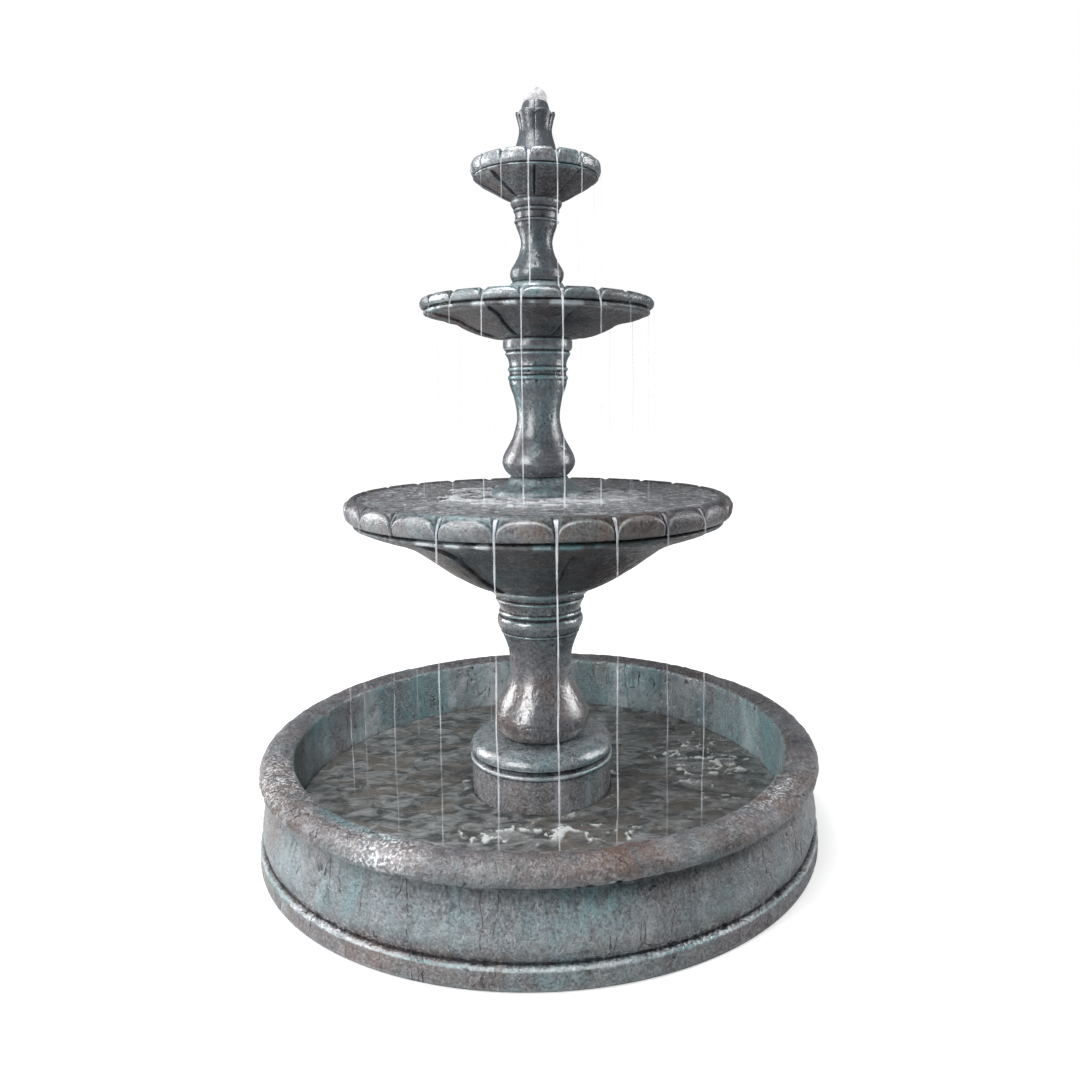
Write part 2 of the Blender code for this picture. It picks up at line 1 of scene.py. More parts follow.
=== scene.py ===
"""The finished look of the tiered water fountain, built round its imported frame.

Every stone casting is a dense turned surface with petals, leaves, beads and weathering
in its geometry. Water, foam and the pump's own materials complete it.
Metres, +Z up, front towards -Y, in the frame's own coordinates.
"""

import json
from math import cos, pi, radians, sin

import bmesh
import bpy
import numpy as np
from mathutils import Matrix, Vector


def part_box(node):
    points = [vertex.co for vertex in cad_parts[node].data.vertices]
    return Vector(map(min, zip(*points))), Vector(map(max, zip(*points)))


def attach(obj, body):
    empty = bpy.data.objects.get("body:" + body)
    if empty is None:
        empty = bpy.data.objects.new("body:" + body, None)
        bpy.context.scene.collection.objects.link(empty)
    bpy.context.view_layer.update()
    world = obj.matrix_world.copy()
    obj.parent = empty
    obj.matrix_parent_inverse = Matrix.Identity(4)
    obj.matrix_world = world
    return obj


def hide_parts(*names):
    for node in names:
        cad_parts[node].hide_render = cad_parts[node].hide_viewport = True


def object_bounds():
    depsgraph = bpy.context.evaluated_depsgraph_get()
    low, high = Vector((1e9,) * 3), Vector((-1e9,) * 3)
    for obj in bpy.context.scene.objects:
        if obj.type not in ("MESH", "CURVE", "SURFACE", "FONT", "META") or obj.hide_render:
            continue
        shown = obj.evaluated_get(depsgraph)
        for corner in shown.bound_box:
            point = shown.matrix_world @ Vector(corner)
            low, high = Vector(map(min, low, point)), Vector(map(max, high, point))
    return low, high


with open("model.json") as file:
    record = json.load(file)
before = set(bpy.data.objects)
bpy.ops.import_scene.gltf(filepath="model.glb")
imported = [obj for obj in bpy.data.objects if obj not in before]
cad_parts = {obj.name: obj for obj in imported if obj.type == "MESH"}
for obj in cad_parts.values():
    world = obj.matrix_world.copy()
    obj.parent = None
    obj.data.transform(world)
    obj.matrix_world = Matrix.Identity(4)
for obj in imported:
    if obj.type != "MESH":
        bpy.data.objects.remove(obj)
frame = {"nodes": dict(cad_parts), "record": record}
CAD_BOX = [list(corner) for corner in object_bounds()]


# ---------------------------------------------------------------- noise

def hashed(x, y, z, seed):
    """A repeatable random number from 0 to 1 for each whole-numbered lattice point."""
    n = (x * 374761393 + y * 668265263 + z * 1103515245 + seed * 1274126177) & 0xFFFFFFFF
    n = ((n ^ (n >> 13)) * 1274126177) & 0xFFFFFFFF
    return ((n ^ (n >> 16)) & 0xFFFF) / 65535.0


def noise(points, size, seed=0):
    """Smooth noise from -1 to 1, with features about this size in metres."""
    scaled = points / size
    cell = np.floor(scaled).astype(np.int64)
    f = scaled - cell
    f = f * f * (3 - 2 * f)
    total = np.zeros(points.shape[:-1])
    for corner in np.ndindex(2, 2, 2):
        weight = np.prod(np.where(np.array(corner) == 1, f, 1 - f), axis=-1)
        x, y, z = (cell[..., i] + corner[i] for i in range(3))
        total += weight * hashed(x, y, z, seed)
    return total * 2 - 1


def layered(points, size, octaves=4, seed=0):
    return sum(noise(points, size / 2 ** k, seed + 17 * k) / 2 ** k for k in range(octaves))


def step(low, high, value):
    """Rises smoothly from 0 to 1 as the value goes from low to high."""
    t = np.clip((value - low) / (high - low), 0, 1)
    return t * t * (3 - 2 * t)


# ---------------------------------------------------------------- outlines

def run(points, spacing=0.004, straight=False):
    """Evenly spaced points on a smooth curve through the given ones.

    Each point is (radius, height, ...), and further columns are carried along the curve.
    """
    keys = np.array(points, dtype=float)
    if straight or len(keys) == 2:
        fine = keys
    else:
        padded = np.vstack([2 * keys[0] - keys[1], keys, 2 * keys[-1] - keys[-2]])
        fine = []
        for a, b, c, d in zip(padded, padded[1:], padded[2:], padded[3:]):
            t = np.linspace(0, 1, 12, endpoint=False)[:, None]
            bend = (2 * a - 5 * b + 4 * c - d) * t ** 2 + (3 * b - a - 3 * c + d) * t ** 3
            fine.append(0.5 * (2 * b + (c - a) * t + bend))
        fine = np.vstack(fine + [keys[-1:]])
    length = np.concatenate([[0], np.cumsum(np.hypot(*np.diff(fine[:, :2], axis=0).T))])
    count = max(2, int(round(length[-1] / spacing)) + 1)
    at = np.linspace(0, length[-1], count)
    return np.column_stack([np.interp(at, length, column) for column in fine.T])


def outline(*runs):
    """Runs joined end to start. A point that two runs share is kept once."""
    joined = [runs[0]]
    for piece in runs[1:]:
        same = np.allclose(piece[0, :2], joined[-1][-1, :2], atol=1e-6)
        joined.append(piece[1:] if same else piece)
    return np.vstack(joined)


def raised(points, foot):
    """Outline points whose heights are measured from a foot, as heights in the frame."""
    return [(p[0], p[1] + foot, *p[2:]) for p in points]


# ---------------------------------------------------------------- surfaces of revolution

def grid_normals(xyz, closed):
    around = np.roll(xyz, -1, 0) - np.roll(xyz, 1, 0)
    along = np.roll(xyz, -1, 1) - np.roll(xyz, 1, 1)
    if not closed:
        along[:, 0] = xyz[:, 1] - xyz[:, 0]
        along[:, -1] = xyz[:, -1] - xyz[:, -2]
    normal = np.cross(along, around)
    return normal / np.maximum(np.linalg.norm(normal, axis=-1, keepdims=True), 1e-12)


def bending(xyz, normal, reach=2):
    """Curvature at each grid point in 1/m: above 0 where the surface is concave, below 0 where it is convex."""
    total = 0
    for axis, width in ((1, reach), (0, reach)):
        ahead, behind = np.roll(xyz, -width, axis), np.roll(xyz, width, axis)
        lean = np.sum(((ahead + behind) / 2 - xyz) * normal, axis=-1)
        total = total + 2 * lean / np.maximum(np.sum((ahead - behind) ** 2, axis=-1) / 4, 1e-8)
    return total


def add_piece(name, mesh, material, replaced=(), body="root"):
    piece = bpy.data.objects.new(name, mesh)
    bpy.context.scene.collection.objects.link(piece)
    mesh.materials.clear()
    mesh.materials.append(material)
    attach(piece, body)
    if replaced:
        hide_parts(*replaced)
    return piece


def grid_mesh(name, xyz, closed, attributes):
    """A mesh from a grid of points that wraps round, with flat ends if its outline is open."""
    count, size = xyz.shape[:2]
    index = np.arange(count * size).reshape(count, size)
    after, below = np.roll(index, -1, 0), np.roll(index, -1, 1)
    corner = np.roll(after, -1, 1)
    quads = np.stack([index, below, corner, after], axis=-1)
    if not closed:
        quads = quads[:, :-1]
    faces = quads.reshape(-1, 4).tolist()
    if not closed:
        faces += [index[:, 0].tolist(), index[::-1, -1].tolist()]
    mesh = bpy.data.meshes.new(name)
    mesh.from_pydata(xyz.reshape(-1, 3).tolist(), [], faces)
    mesh.shade_smooth()
    for key, values in attributes.items():
        layer = mesh.attributes.new(key, "FLOAT", "POINT")
        layer.data.foreach_set("value", np.ascontiguousarray(values, np.float32).ravel())
    return mesh


def casting(name, profile, azimuths, material, nodes, shape=None, relief=None, closed=True,
            tints=None, wear=1.0):
    """A stone piece turned from its outline, then shaped, weathered, and marked for wear and dirt and for painted
    highlights and painted shade.
    """
    a = np.asarray(azimuths)[:, None]
    r = np.repeat(profile[None, :, 0], len(azimuths), 0)
    z = np.repeat(profile[None, :, 1], len(azimuths), 0)
    if shape:
        r, z = shape(r, z, a, profile)
    xyz = np.stack([r * np.cos(a), r * np.sin(a), z], axis=-1)
    normal = grid_normals(xyz, closed)
    if relief:
        xyz = xyz + normal * relief(xyz, a, profile)[..., None]
        normal = grid_normals(xyz, closed)
    bend = bending(xyz, normal)
    # Convex ridges get pale wear that is partly a painted highlight; concave creases get dirt that is partly painted
    # shade.
    marks = {"edge": wear * step(25, 170, -bend), "hollow": step(20, 130, bend)}
    for key, amount in (tints(xyz, a, profile) if tints else {}).items():
        marks[key] = np.clip(np.maximum(marks.get(key, 0), amount), 0, 1)
    mesh = grid_mesh(name, xyz, closed, marks)
    return add_piece(name, mesh, material, nodes)


def even(count, start=0.0):
    return start + np.arange(count) * 2 * pi / count


def round_petals(count, notch, samples, crowding=0.72):
    """Azimuths round a petalled rim, with their samples crowded towards the notches."""
    u = np.arange(samples) / samples
    t = u - crowding * np.sin(2 * pi * u) / (2 * pi)
    start = radians(notch - 90)
    return (start + (np.arange(count)[:, None] + t[None, :]) * 2 * pi / count).ravel()


def petal_place(azimuth, count, notch):
    """0 at the crown of a petal and 1 in the notch beside it."""
    return np.abs(2 * (((azimuth - radians(notch - 90)) * count / (2 * pi)) % 1) - 1)


def petal_pick(azimuth, count, notch, seed):
    """A random number from 0 to 1 for the petal at this azimuth, so that no two are alike."""
    turn = np.floor((azimuth - radians(notch - 90)) * count / (2 * pi) + 1e-6)
    return hashed(turn.astype(np.int64) % count, np.int64(5), np.int64(9), seed)


def bump_at(azimuth, centre, width):
    """A smooth hump round the turn: 1 at the centre and fading over the width, in degrees."""
    away = (np.degrees(azimuth) + 90 - centre + 180) % 360 - 180
    return np.exp(-(away / width) ** 2)


# ---------------------------------------------------------------- shader nodes

class Shader:
    """A material's node tree, with short calls for the nodes used here."""

    def __init__(self, name):
        self.material = bpy.data.materials.new(name)
        self.material.use_nodes = True
        self.nodes = self.material.node_tree.nodes
        self.links = self.material.node_tree.links
        self.surface = self.nodes["Principled BSDF"]
        self.place = self.nodes.new("ShaderNodeTexCoord").outputs["Object"]

    def set(self, socket, value):
        if isinstance(value, bpy.types.NodeSocket):
            self.links.new(value, socket)
        elif isinstance(value, tuple) and len(value) == 3 and socket.type == "RGBA":
            socket.default_value = (*value, 1)
        else:
            socket.default_value = value

    def node(self, kind, inputs=None, **settings):
        node = self.nodes.new(kind)
        for key, value in settings.items():
            setattr(node, key, value)
        for key, value in (inputs or {}).items():
            self.set(node.inputs[key], value)
        return node

    def stretched(self, scale, offset=(0, 0, 0)):
        return self.node("ShaderNodeMapping", {"Vector": self.place, "Scale": scale,
                                               "Location": offset}).outputs[0]

    def noise(self, scale, detail=4, roughness=0.55, where=None, warp=0):
        return self.node("ShaderNodeTexNoise", {
            "Vector": where or self.place, "Scale": scale, "Detail": detail,
            "Roughness": roughness, "Distortion": warp}).outputs["Fac"]

    def cells(self, scale, where=None, feature="F1", output="Distance"):
        return self.node("ShaderNodeTexVoronoi", {"Vector": where or self.place, "Scale": scale},
                         feature=feature).outputs[output]

    def attribute(self, name):
        return self.node("ShaderNodeAttribute", attribute_name=name).outputs["Fac"]

    def ramp(self, value, low, high, bottom=0.0, top=1.0):
        return self.node("ShaderNodeMapRange", {
            "Value": value, "From Min": low, "From Max": high, "To Min": bottom,
            "To Max": top}, interpolation_type="SMOOTHSTEP").outputs["Result"]

    def math(self, operation, a, b=0.0, clamp=False):
        return self.node("ShaderNodeMath", {0: a, 1: b}, operation=operation,
                         use_clamp=clamp).outputs[0]

    def mix(self, amount, under, over):
        return self.node("ShaderNodeMix", {0: amount, 6: under, 7: over},
                         data_type="RGBA").outputs[2]

    def bump(self, height, distance, strength=1.0, below=None):
        inputs = {"Height": height, "Distance": distance, "Strength": strength}
        if below:
            inputs["Normal"] = below
        return self.node("ShaderNodeBump", inputs).outputs["Normal"]

    def finish(self, **values):
        for key, value in values.items():
            self.set(self.surface.inputs[key.replace("_", " ")], value)
        return self.material


# ---------------------------------------------------------------- wet cast stone

STONE = (0.132, 0.138, 0.150)
STONE_DARK = (0.045, 0.044, 0.048)
STONE_PALE = (0.36, 0.365, 0.39)
RUST = (0.170, 0.088, 0.056)
PLUM = (0.112, 0.086, 0.098)
VERDIGRIS = (0.125, 0.255, 0.270)
LIME_AND_LIGHT = (0.50, 0.54, 0.56)
SOOT_AND_SHADE = (0.010, 0.010, 0.012)
SLATE = (0.050, 0.062, 0.077)
OLIVE = (0.120, 0.112, 0.085)
GLINT = (0.78, 0.80, 0.82)


def stone(name, teal=0.4, rust=0.3, pale=0.3, streaks=0.3, cracks=0.0, slate=0.0, edge=0.7,
          seed=0.0, gloss=0.34, grit=1.0, wet=0.5, dark=0.0):
    """Weathered cast stone under a film of water."""
    s = Shader(name)
    shifted = s.stretched((1, 1, 1), (seed, seed * 0.37, seed * 0.71))
    drawn = s.stretched((1, 1, 0.10), (seed * 0.5, seed, 0))
    patch = s.noise(3.1, 5, 0.6, shifted, 0.6)
    cloud = s.noise(11.0, 6, 0.62, shifted, 0.3)
    mottle = s.noise(38, 6, 0.68, shifted)
    grain = s.noise(150, 3, 0.65, shifted)
    fine = s.noise(330, 3, 0.6, shifted)
    drips = s.noise(26, 5, 0.6, drawn, 0.15)

    colour = s.mix(s.ramp(mottle, 0.30, 0.64), STONE_DARK, STONE)
    colour = s.mix(s.ramp(cloud, 0.44, 0.64, 0, 0.75), colour, PLUM)
    colour = s.mix(s.ramp(patch, 0.40, 0.28, 0, 0.7), colour, OLIVE)
    if slate:
        colour = s.mix(slate, colour, SLATE)
    rusty = s.math("MULTIPLY", s.ramp(patch, 0.49, 0.60), s.ramp(mottle, 0.30, 0.60, 0.35, 1))
    rusty = s.math("MULTIPLY", rusty, rust)
    brown = s.math("MULTIPLY", s.attribute("rust"), s.ramp(cloud, 0.34, 0.56))
    colour = s.mix(s.math("MAXIMUM", rusty, brown), colour, RUST)
    other = s.noise(4.3, 5, 0.6, s.stretched((1, 1, 0.7), (seed + 7.3, 2.1, seed)), 0.5)
    green = s.math("MULTIPLY", s.ramp(other, 0.48, 0.62), s.ramp(drips, 0.36, 0.62, 0.3, 1))
    green = s.math("MULTIPLY", green, teal)
    stain = s.math("MULTIPLY", s.attribute("teal"), s.ramp(mottle, 0.30, 0.58, 0.25, 1))
    colour = s.mix(s.math("MAXIMUM", green, stain), colour, VERDIGRIS)
    chalk_and_highlight = s.math("MULTIPLY", s.ramp(drips, 0.50, 0.70), s.ramp(cloud, 0.36, 0.60))
    colour = s.mix(s.math("MULTIPLY", chalk_and_highlight, streaks), colour, STONE_PALE)
    colour = s.mix(s.ramp(drips, 0.46, 0.32, 0, streaks), colour, STONE_DARK)
    colour = s.mix(s.ramp(grain, 0.50, 0.66, 0, pale), colour, STONE_PALE)
    colour = s.mix(s.ramp(fine, 0.54, 0.68, 0, pale), colour, STONE_PALE)
    colour = s.mix(s.ramp(grain, 0.47, 0.36, 0, 0.85), colour, STONE_DARK)
    # Pale wear on ridges, together with the painted highlights and painted light that the pieces mark, in a
    # verdigris-tinged pale.
    worn_and_lit = s.math("MULTIPLY", s.attribute("edge"), s.ramp(mottle, 0.30, 0.54, 0.35, 1))
    lit = s.mix(s.ramp(other, 0.40, 0.60), LIME_AND_LIGHT, VERDIGRIS)
    colour = s.mix(s.math("MULTIPLY", worn_and_lit, edge), colour, lit)
    # Painted highlight: pale glint flecks where a piece marks glints.
    painted_glint_flecks = s.math("MULTIPLY", s.attribute("glint"), s.ramp(grain, 0.49, 0.57))
    painted_glint_flecks = s.math("MULTIPLY", painted_glint_flecks, s.ramp(mottle, 0.38, 0.56))
    colour = s.mix(painted_glint_flecks, colour, GLINT)
    if dark:
        colour = s.mix(dark, colour, SOOT_AND_SHADE)
    # Darkening that is dirt in creases and painted shade where the pieces mark it.
    grime_and_painted_shade = s.math("MULTIPLY", s.attribute("hollow"), s.ramp(mottle, 0.2, 0.7, 1, 0.7))
    colour = s.mix(grime_and_painted_shade, colour, SOOT_AND_SHADE)
    relief = mottle
    if cracks:
        wander = s.node("ShaderNodeTexNoise", {"Vector": s.place, "Scale": 18.0}).outputs["Color"]
        shaken = s.node("ShaderNodeVectorMath", {0: wander, "Scale": 0.02}, operation="SCALE")
        warped = s.node("ShaderNodeVectorMath", {
            0: s.stretched((1, 1, 0.08), (seed, 0.4, 0)), 1: shaken.outputs[0]}, operation="ADD")
        split = s.cells(26, warped.outputs[0], "DISTANCE_TO_EDGE")
        line = s.math("MULTIPLY", s.ramp(split, 0.0, 0.022, 1, 0), s.ramp(cloud, 0.52, 0.60))
        line = s.math("MULTIPLY", line, cracks)
        colour = s.mix(line, colour, SOOT_AND_SHADE)
        relief = s.math("SUBTRACT", relief, line)
    broad = s.bump(relief, 0.0040 * grit, 0.9)
    normal = s.bump(grain, 0.0026 * grit, 0.9, broad)
    normal = s.bump(fine, 0.0012 * grit, 0.9, normal)
    film = s.bump(s.math("ADD", grain, s.math("MULTIPLY", fine, 0.4)), 0.0020 * grit, 0.9, broad)
    rough = s.ramp(s.noise(60, 4, 0.6, shifted), 0.35, 0.65, gloss - 0.08, gloss + 0.16)
    sheen = s.ramp(s.attribute("hollow"), 0.1, 0.8, wet, wet * 0.08)
    shine = s.ramp(s.attribute("hollow"), 0.1, 0.8, 0.5, 0.08)
    return s.finish(Base_Color=colour, Roughness=rough, Normal=normal, Coat_Weight=sheen,
                    Coat_Roughness=0.13, Coat_IOR=1.9, Coat_Normal=film, IOR=1.5,
                    Specular_IOR_Level=shine)


# ---------------------------------------------------------------- water

def spokes(s, around, outward):
    """Coordinates that draw a pattern out from the middle of a bowl, the way its water runs."""
    flat = s.stretched((1, 1, 0))
    aim = s.node("ShaderNodeVectorMath", {0: flat}, operation="NORMALIZE").outputs[0]
    aim = s.node("ShaderNodeVectorMath", {0: aim, "Scale": around}, operation="SCALE").outputs[0]
    reach = s.node("ShaderNodeVectorMath", {0: flat}, operation="LENGTH").outputs["Value"]
    rise = s.node("ShaderNodeCombineXYZ", {"Z": s.math("MULTIPLY", reach, outward)}).outputs[0]
    return s.node("ShaderNodeVectorMath", {0: aim, 1: rise}, operation="ADD").outputs[0]


def water_material(name, deep, shine, brown, foam_colour, where=None, glints=0.5):
    s = Shader(name)
    place = where(s) if where else s.stretched((14, 22, 14))
    swirl = s.noise(0.45, 5, 0.65, place, 1.2)
    ripple = s.noise(1.3, 5, 0.62, place, 0.8)
    small = s.noise(3.4, 4, 0.62, place, 0.4)
    colour = s.mix(s.ramp(ripple, 0.36, 0.62), deep, shine)
    colour = s.mix(s.ramp(swirl, 0.46, 0.66, 0, 0.8), colour, brown)
    glint = s.math("MULTIPLY", s.ramp(ripple, 0.52, 0.66), s.ramp(small, 0.44, 0.62))
    colour = s.mix(s.math("MULTIPLY", glint, glints), colour, foam_colour)
    # The foam attribute here also holds the painted glint ring and the painted reflection of the bowl water.
    foam = s.attribute("foam")
    colour = s.mix(foam, colour, foam_colour)
    waves = s.math("ADD", ripple, s.math("MULTIPLY", small, 0.45))
    rough = s.ramp(foam, 0.1, 0.9, 0.06, 0.5)
    return s.finish(Base_Color=colour, Roughness=rough, Normal=s.bump(waves, 0.012, 0.9),
                    IOR=1.33)


def thread_material():
    """Falling water: white with a faint painted glow, broken into beads, and thinner to the eye at its sides."""
    s = Shader("falling_water")
    beads = s.noise(70, 3, 0.6, s.stretched((1, 1, 0.22)))
    side = s.node("ShaderNodeLayerWeight", {"Blend": 0.35}).outputs["Facing"]
    across = s.ramp(side, 0.15, 0.95, 1, 0.05)
    body = s.math("MULTIPLY", across, s.ramp(beads, 0.30, 0.62, 0.10, 0.48))
    body = s.math("MULTIPLY", body, s.attribute("flow"))
    # Painted light: a faint white glow keeps the threads pale on their shaded side.
    return s.finish(Base_Color=(0.80, 0.82, 0.85), Roughness=0.25, IOR=1.33, Alpha=body,
                    Emission_Color=(0.92, 0.94, 1.0), Emission_Strength=0.12)


def bubble_material():
    s = Shader("welling_water")
    swirl = s.noise(34, 5, 0.62, None, 1.6)
    colour = s.mix(s.ramp(swirl, 0.38, 0.64), (0.36, 0.35, 0.37), (0.92, 0.90, 0.92))
    side = s.node("ShaderNodeLayerWeight", {"Blend": 0.45}).outputs["Facing"]
    return s.finish(Base_Color=colour, Roughness=0.05, IOR=1.33,
                    Alpha=s.ramp(side, 0.1, 0.9, 0.55, 0.85), Normal=s.bump(swirl, 0.006, 0.8))


# ---------------------------------------------------------------- stone pieces

def box_of(node):
    low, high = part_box(node)
    return Vector(low), Vector(high)


def weather(amount=1.0, seed=0):
    """Hand-cast unevenness: long waves, small lumps and shallow worn dents."""
    def relief(xyz, azimuth, profile):
        waves = layered(xyz, 0.22, 2, seed) * 0.0010
        lumps = layered(xyz, 0.030, 3, seed + 5) * 0.0006
        dents = -step(0.35, 0.9, layered(xyz, 0.018, 2, seed + 9)) * 0.0012
        return (waves + lumps + dents) * amount
    return relief


def pool_tints(xyz, azimuth, profile):
    """Where the pool is stained, with rust on its rim and foot and verdigris below the rim and inside, and where
    light is painted on: painted shade under and on the rim, painted light inside and on the left of the wall, a
    paler lower wall, and painted glints on the rim and foot.
    """
    r, z = np.hypot(xyz[..., 0], xyz[..., 1]), xyz[..., 2]
    ragged = layered(xyz, 0.11, 4, 151) * 0.5 + 0.5
    torn = layered(xyz * np.array([1, 1, 0.3]), 0.07, 4, 157) * 0.5 + 0.5
    rim = step(0.205, 0.235, z) * step(0.664, 0.675, r)
    inside = step(0.672, 0.664, r) * step(0.08, 0.11, z)
    foot = step(0.085, 0.055, z) * step(0.70, 0.735, r)
    wall = step(0.70, 0.735, r) * step(0.215, 0.195, z) * step(0.06, 0.10, z)
    warm = 0.25 + 0.9 * bump_at(azimuth, 16, 14) + 0.7 * bump_at(azimuth, -66, 20)
    warm = rim * (warm + 0.5 * bump_at(azimuth, 50, 16)) * 1.5 * ragged
    warm = warm + 1.1 * wall * step(0.135, 0.085, z) * bump_at(azimuth, 4, 22) * torn
    warm = warm + 0.9 * foot * bump_at(azimuth, -8, 26) * ragged
    warm = warm + inside * (bump_at(azimuth, 175, 22) + bump_at(azimuth, 112, 14)) * ragged
    cool = wall * (0.6 * bump_at(azimuth, -24, 12) + 0.8 * bump_at(azimuth, 5, 13))
    cool = cool + inside * (bump_at(azimuth, 152, 13) + bump_at(azimuth, 88, 24)) * 1.2
    cool = cool + rim * 0.9 * bump_at(azimuth, -34, 12) * step(0.72, 0.69, r)
    cool = cool + foot * 0.7 * bump_at(azimuth, 6, 14) + wall * 0.3 * step(0.5, 0.8, torn)
    # Painted shade: a dark band on the wall under the rim, strongest a little right of the front, the rim darkened
    # away from the front-left glint, and a dark line in the groove under the rim's roll.
    under_rim_shade = wall * step(0.150, 0.208, z) * (0.30 + 0.55 * bump_at(azimuth, 16, 38))
    rim_shade_off_glint = rim * 0.50 * (1 - bump_at(azimuth, -24, 8))
    rim_shade_off_glint = rim_shade_off_glint * (0.6 + 0.6 * ragged)
    crevice_shade = step(0.2135, 0.2115, z) * step(0.2010, 0.2060, z) * step(0.715, 0.722, r)
    # Painted light inside the pool and on the left of the outer wall, and a paler lower wall.
    pale = 1.7 * inside * torn + 0.45 * wall * step(0.18, 0.10, z) * torn
    pale = pale + 0.5 * wall * bump_at(azimuth, -60, 25) * torn
    # Painted highlights: glint flecks on the rim at the left, front left and front right, and on top of the foot
    # left and right of the front.
    glint = rim * (1.1 * bump_at(azimuth, -62, 11) + 0.8 * bump_at(azimuth, -26, 7))
    glint = glint + 1.1 * rim * step(0.738, 0.715, r) * bump_at(azimuth, 54, 11)
    glint = glint + 0.8 * foot * step(0.043, 0.050, z) * (bump_at(azimuth, -35, 10)
                                                         + bump_at(azimuth, 30, 10))
    return {"rust": warm, "teal": cool * (0.4 + torn), "edge": pale, "glint": glint,
            "hollow": np.maximum(np.maximum(under_rim_shade, crevice_shade * 0.95), rim_shade_off_glint)}


def make_pool():
    low, high = box_of("pool_basin")
    floor, inner = 0.030, 0.666
    top = high.z
    profile = outline(
        run([(0.020, floor), (0.645, floor)], 0.03),
        run([(0.645, floor), (0.660, 0.034), (inner, 0.046)], 0.006),
        run([(inner, 0.046), (inner, 0.238)], 0.008),
        run([(inner, 0.238), (0.6675, 0.2475), (0.674, 0.2530), (0.684, 0.2565),
             (0.705, top), (0.727, 0.2575), (0.7445, 0.2485), (0.7540, 0.233),
             (0.7525, 0.2205), (0.7450, 0.2135), (0.7340, 0.2115)], 0.0035),
        run([(0.7340, 0.2115), (0.7285, 0.2085), (0.7310, 0.2030)], 0.0022),
        run([(0.7310, 0.2030), (0.7335, 0.1860), (0.7385, 0.1620), (0.7460, 0.1270),
             (0.7508, 0.0970), (0.7480, 0.0700), (0.7425, 0.0555)], 0.005),
        run([(0.7425, 0.0555), (0.7445, 0.0520), (0.7530, 0.0505), (0.7575, 0.0470),
             (0.7582, 0.0410)], 0.0025),
        run([(0.7582, 0.0410), (0.7582, 0.006), (0.7560, 0.0015), (0.7510, low.z)], 0.006),
        run([(0.7510, low.z), (0.020, low.z)], 0.04))

    def relief(xyz, azimuth, profile):
        height = weather(1.6, 3)(xyz, azimuth, profile)
        outside = step(0.70, 0.735, np.hypot(xyz[..., 0], xyz[..., 1]))
        drawn = xyz * np.array([1, 1, 0.16])
        flutes = layered(drawn, 0.020, 3, 31) * 0.0009 * outside
        split = np.abs(layered(xyz * np.array([1, 1, 0.07]), 0.060, 3, 47))
        where = step(0.25, 0.60, layered(xyz * np.array([1, 1, 0.6]), 0.16, 2, 53))
        fissure = -step(0.040, 0.0, split) * where * outside * 0.0026
        level = step(0.004, 0.012, xyz[..., 2])
        return (height + flutes + fissure) * level

    material = stone("pool_stone", teal=0.22, rust=0.45, pale=0.50, streaks=0.55, cracks=0.9,
                     edge=0.8, seed=1.7, gloss=0.30, grit=1.6, wet=0.55)
    pool = casting("pool", profile, even(1080), material, ["pool_basin"], relief=relief,
                   closed=False, tints=pool_tints)
    drill_pool(pool, floor)


def drill_pool(pool, floor):
    """The drain hole, the cord hole, and the channel for the cord under the pool."""
    plug_low, plug_high = box_of("drain_plug")
    cord_low, cord_high = box_of("cord_stopper")
    drain = (plug_low + plug_high) / 2
    cord = (cord_low + cord_high) / 2
    bm = bmesh.new()
    for centre, radius, bottom in ((drain, 0.0125, -0.01), (cord, 0.0185, 0.006)):
        turn = Matrix.Translation((centre.x, centre.y, (bottom + floor + 0.02) / 2))
        bmesh.ops.create_cone(bm, cap_ends=True, segments=40, radius1=radius, radius2=radius,
                              depth=floor + 0.02 - bottom, matrix=turn)
    half, roof = 0.008, 0.012
    run_out = Matrix.Translation((0, (cord.y + 0.77) / 2, (roof - 0.01) / 2))
    size = Vector((2 * half, 0.77 - cord.y + 0.02, roof + 0.01))
    cube = bmesh.ops.create_cube(bm, size=1, matrix=run_out @ Matrix.Diagonal(size).to_4x4())
    apply_cut(pool, cutter_from(bm, "pool_holes"))


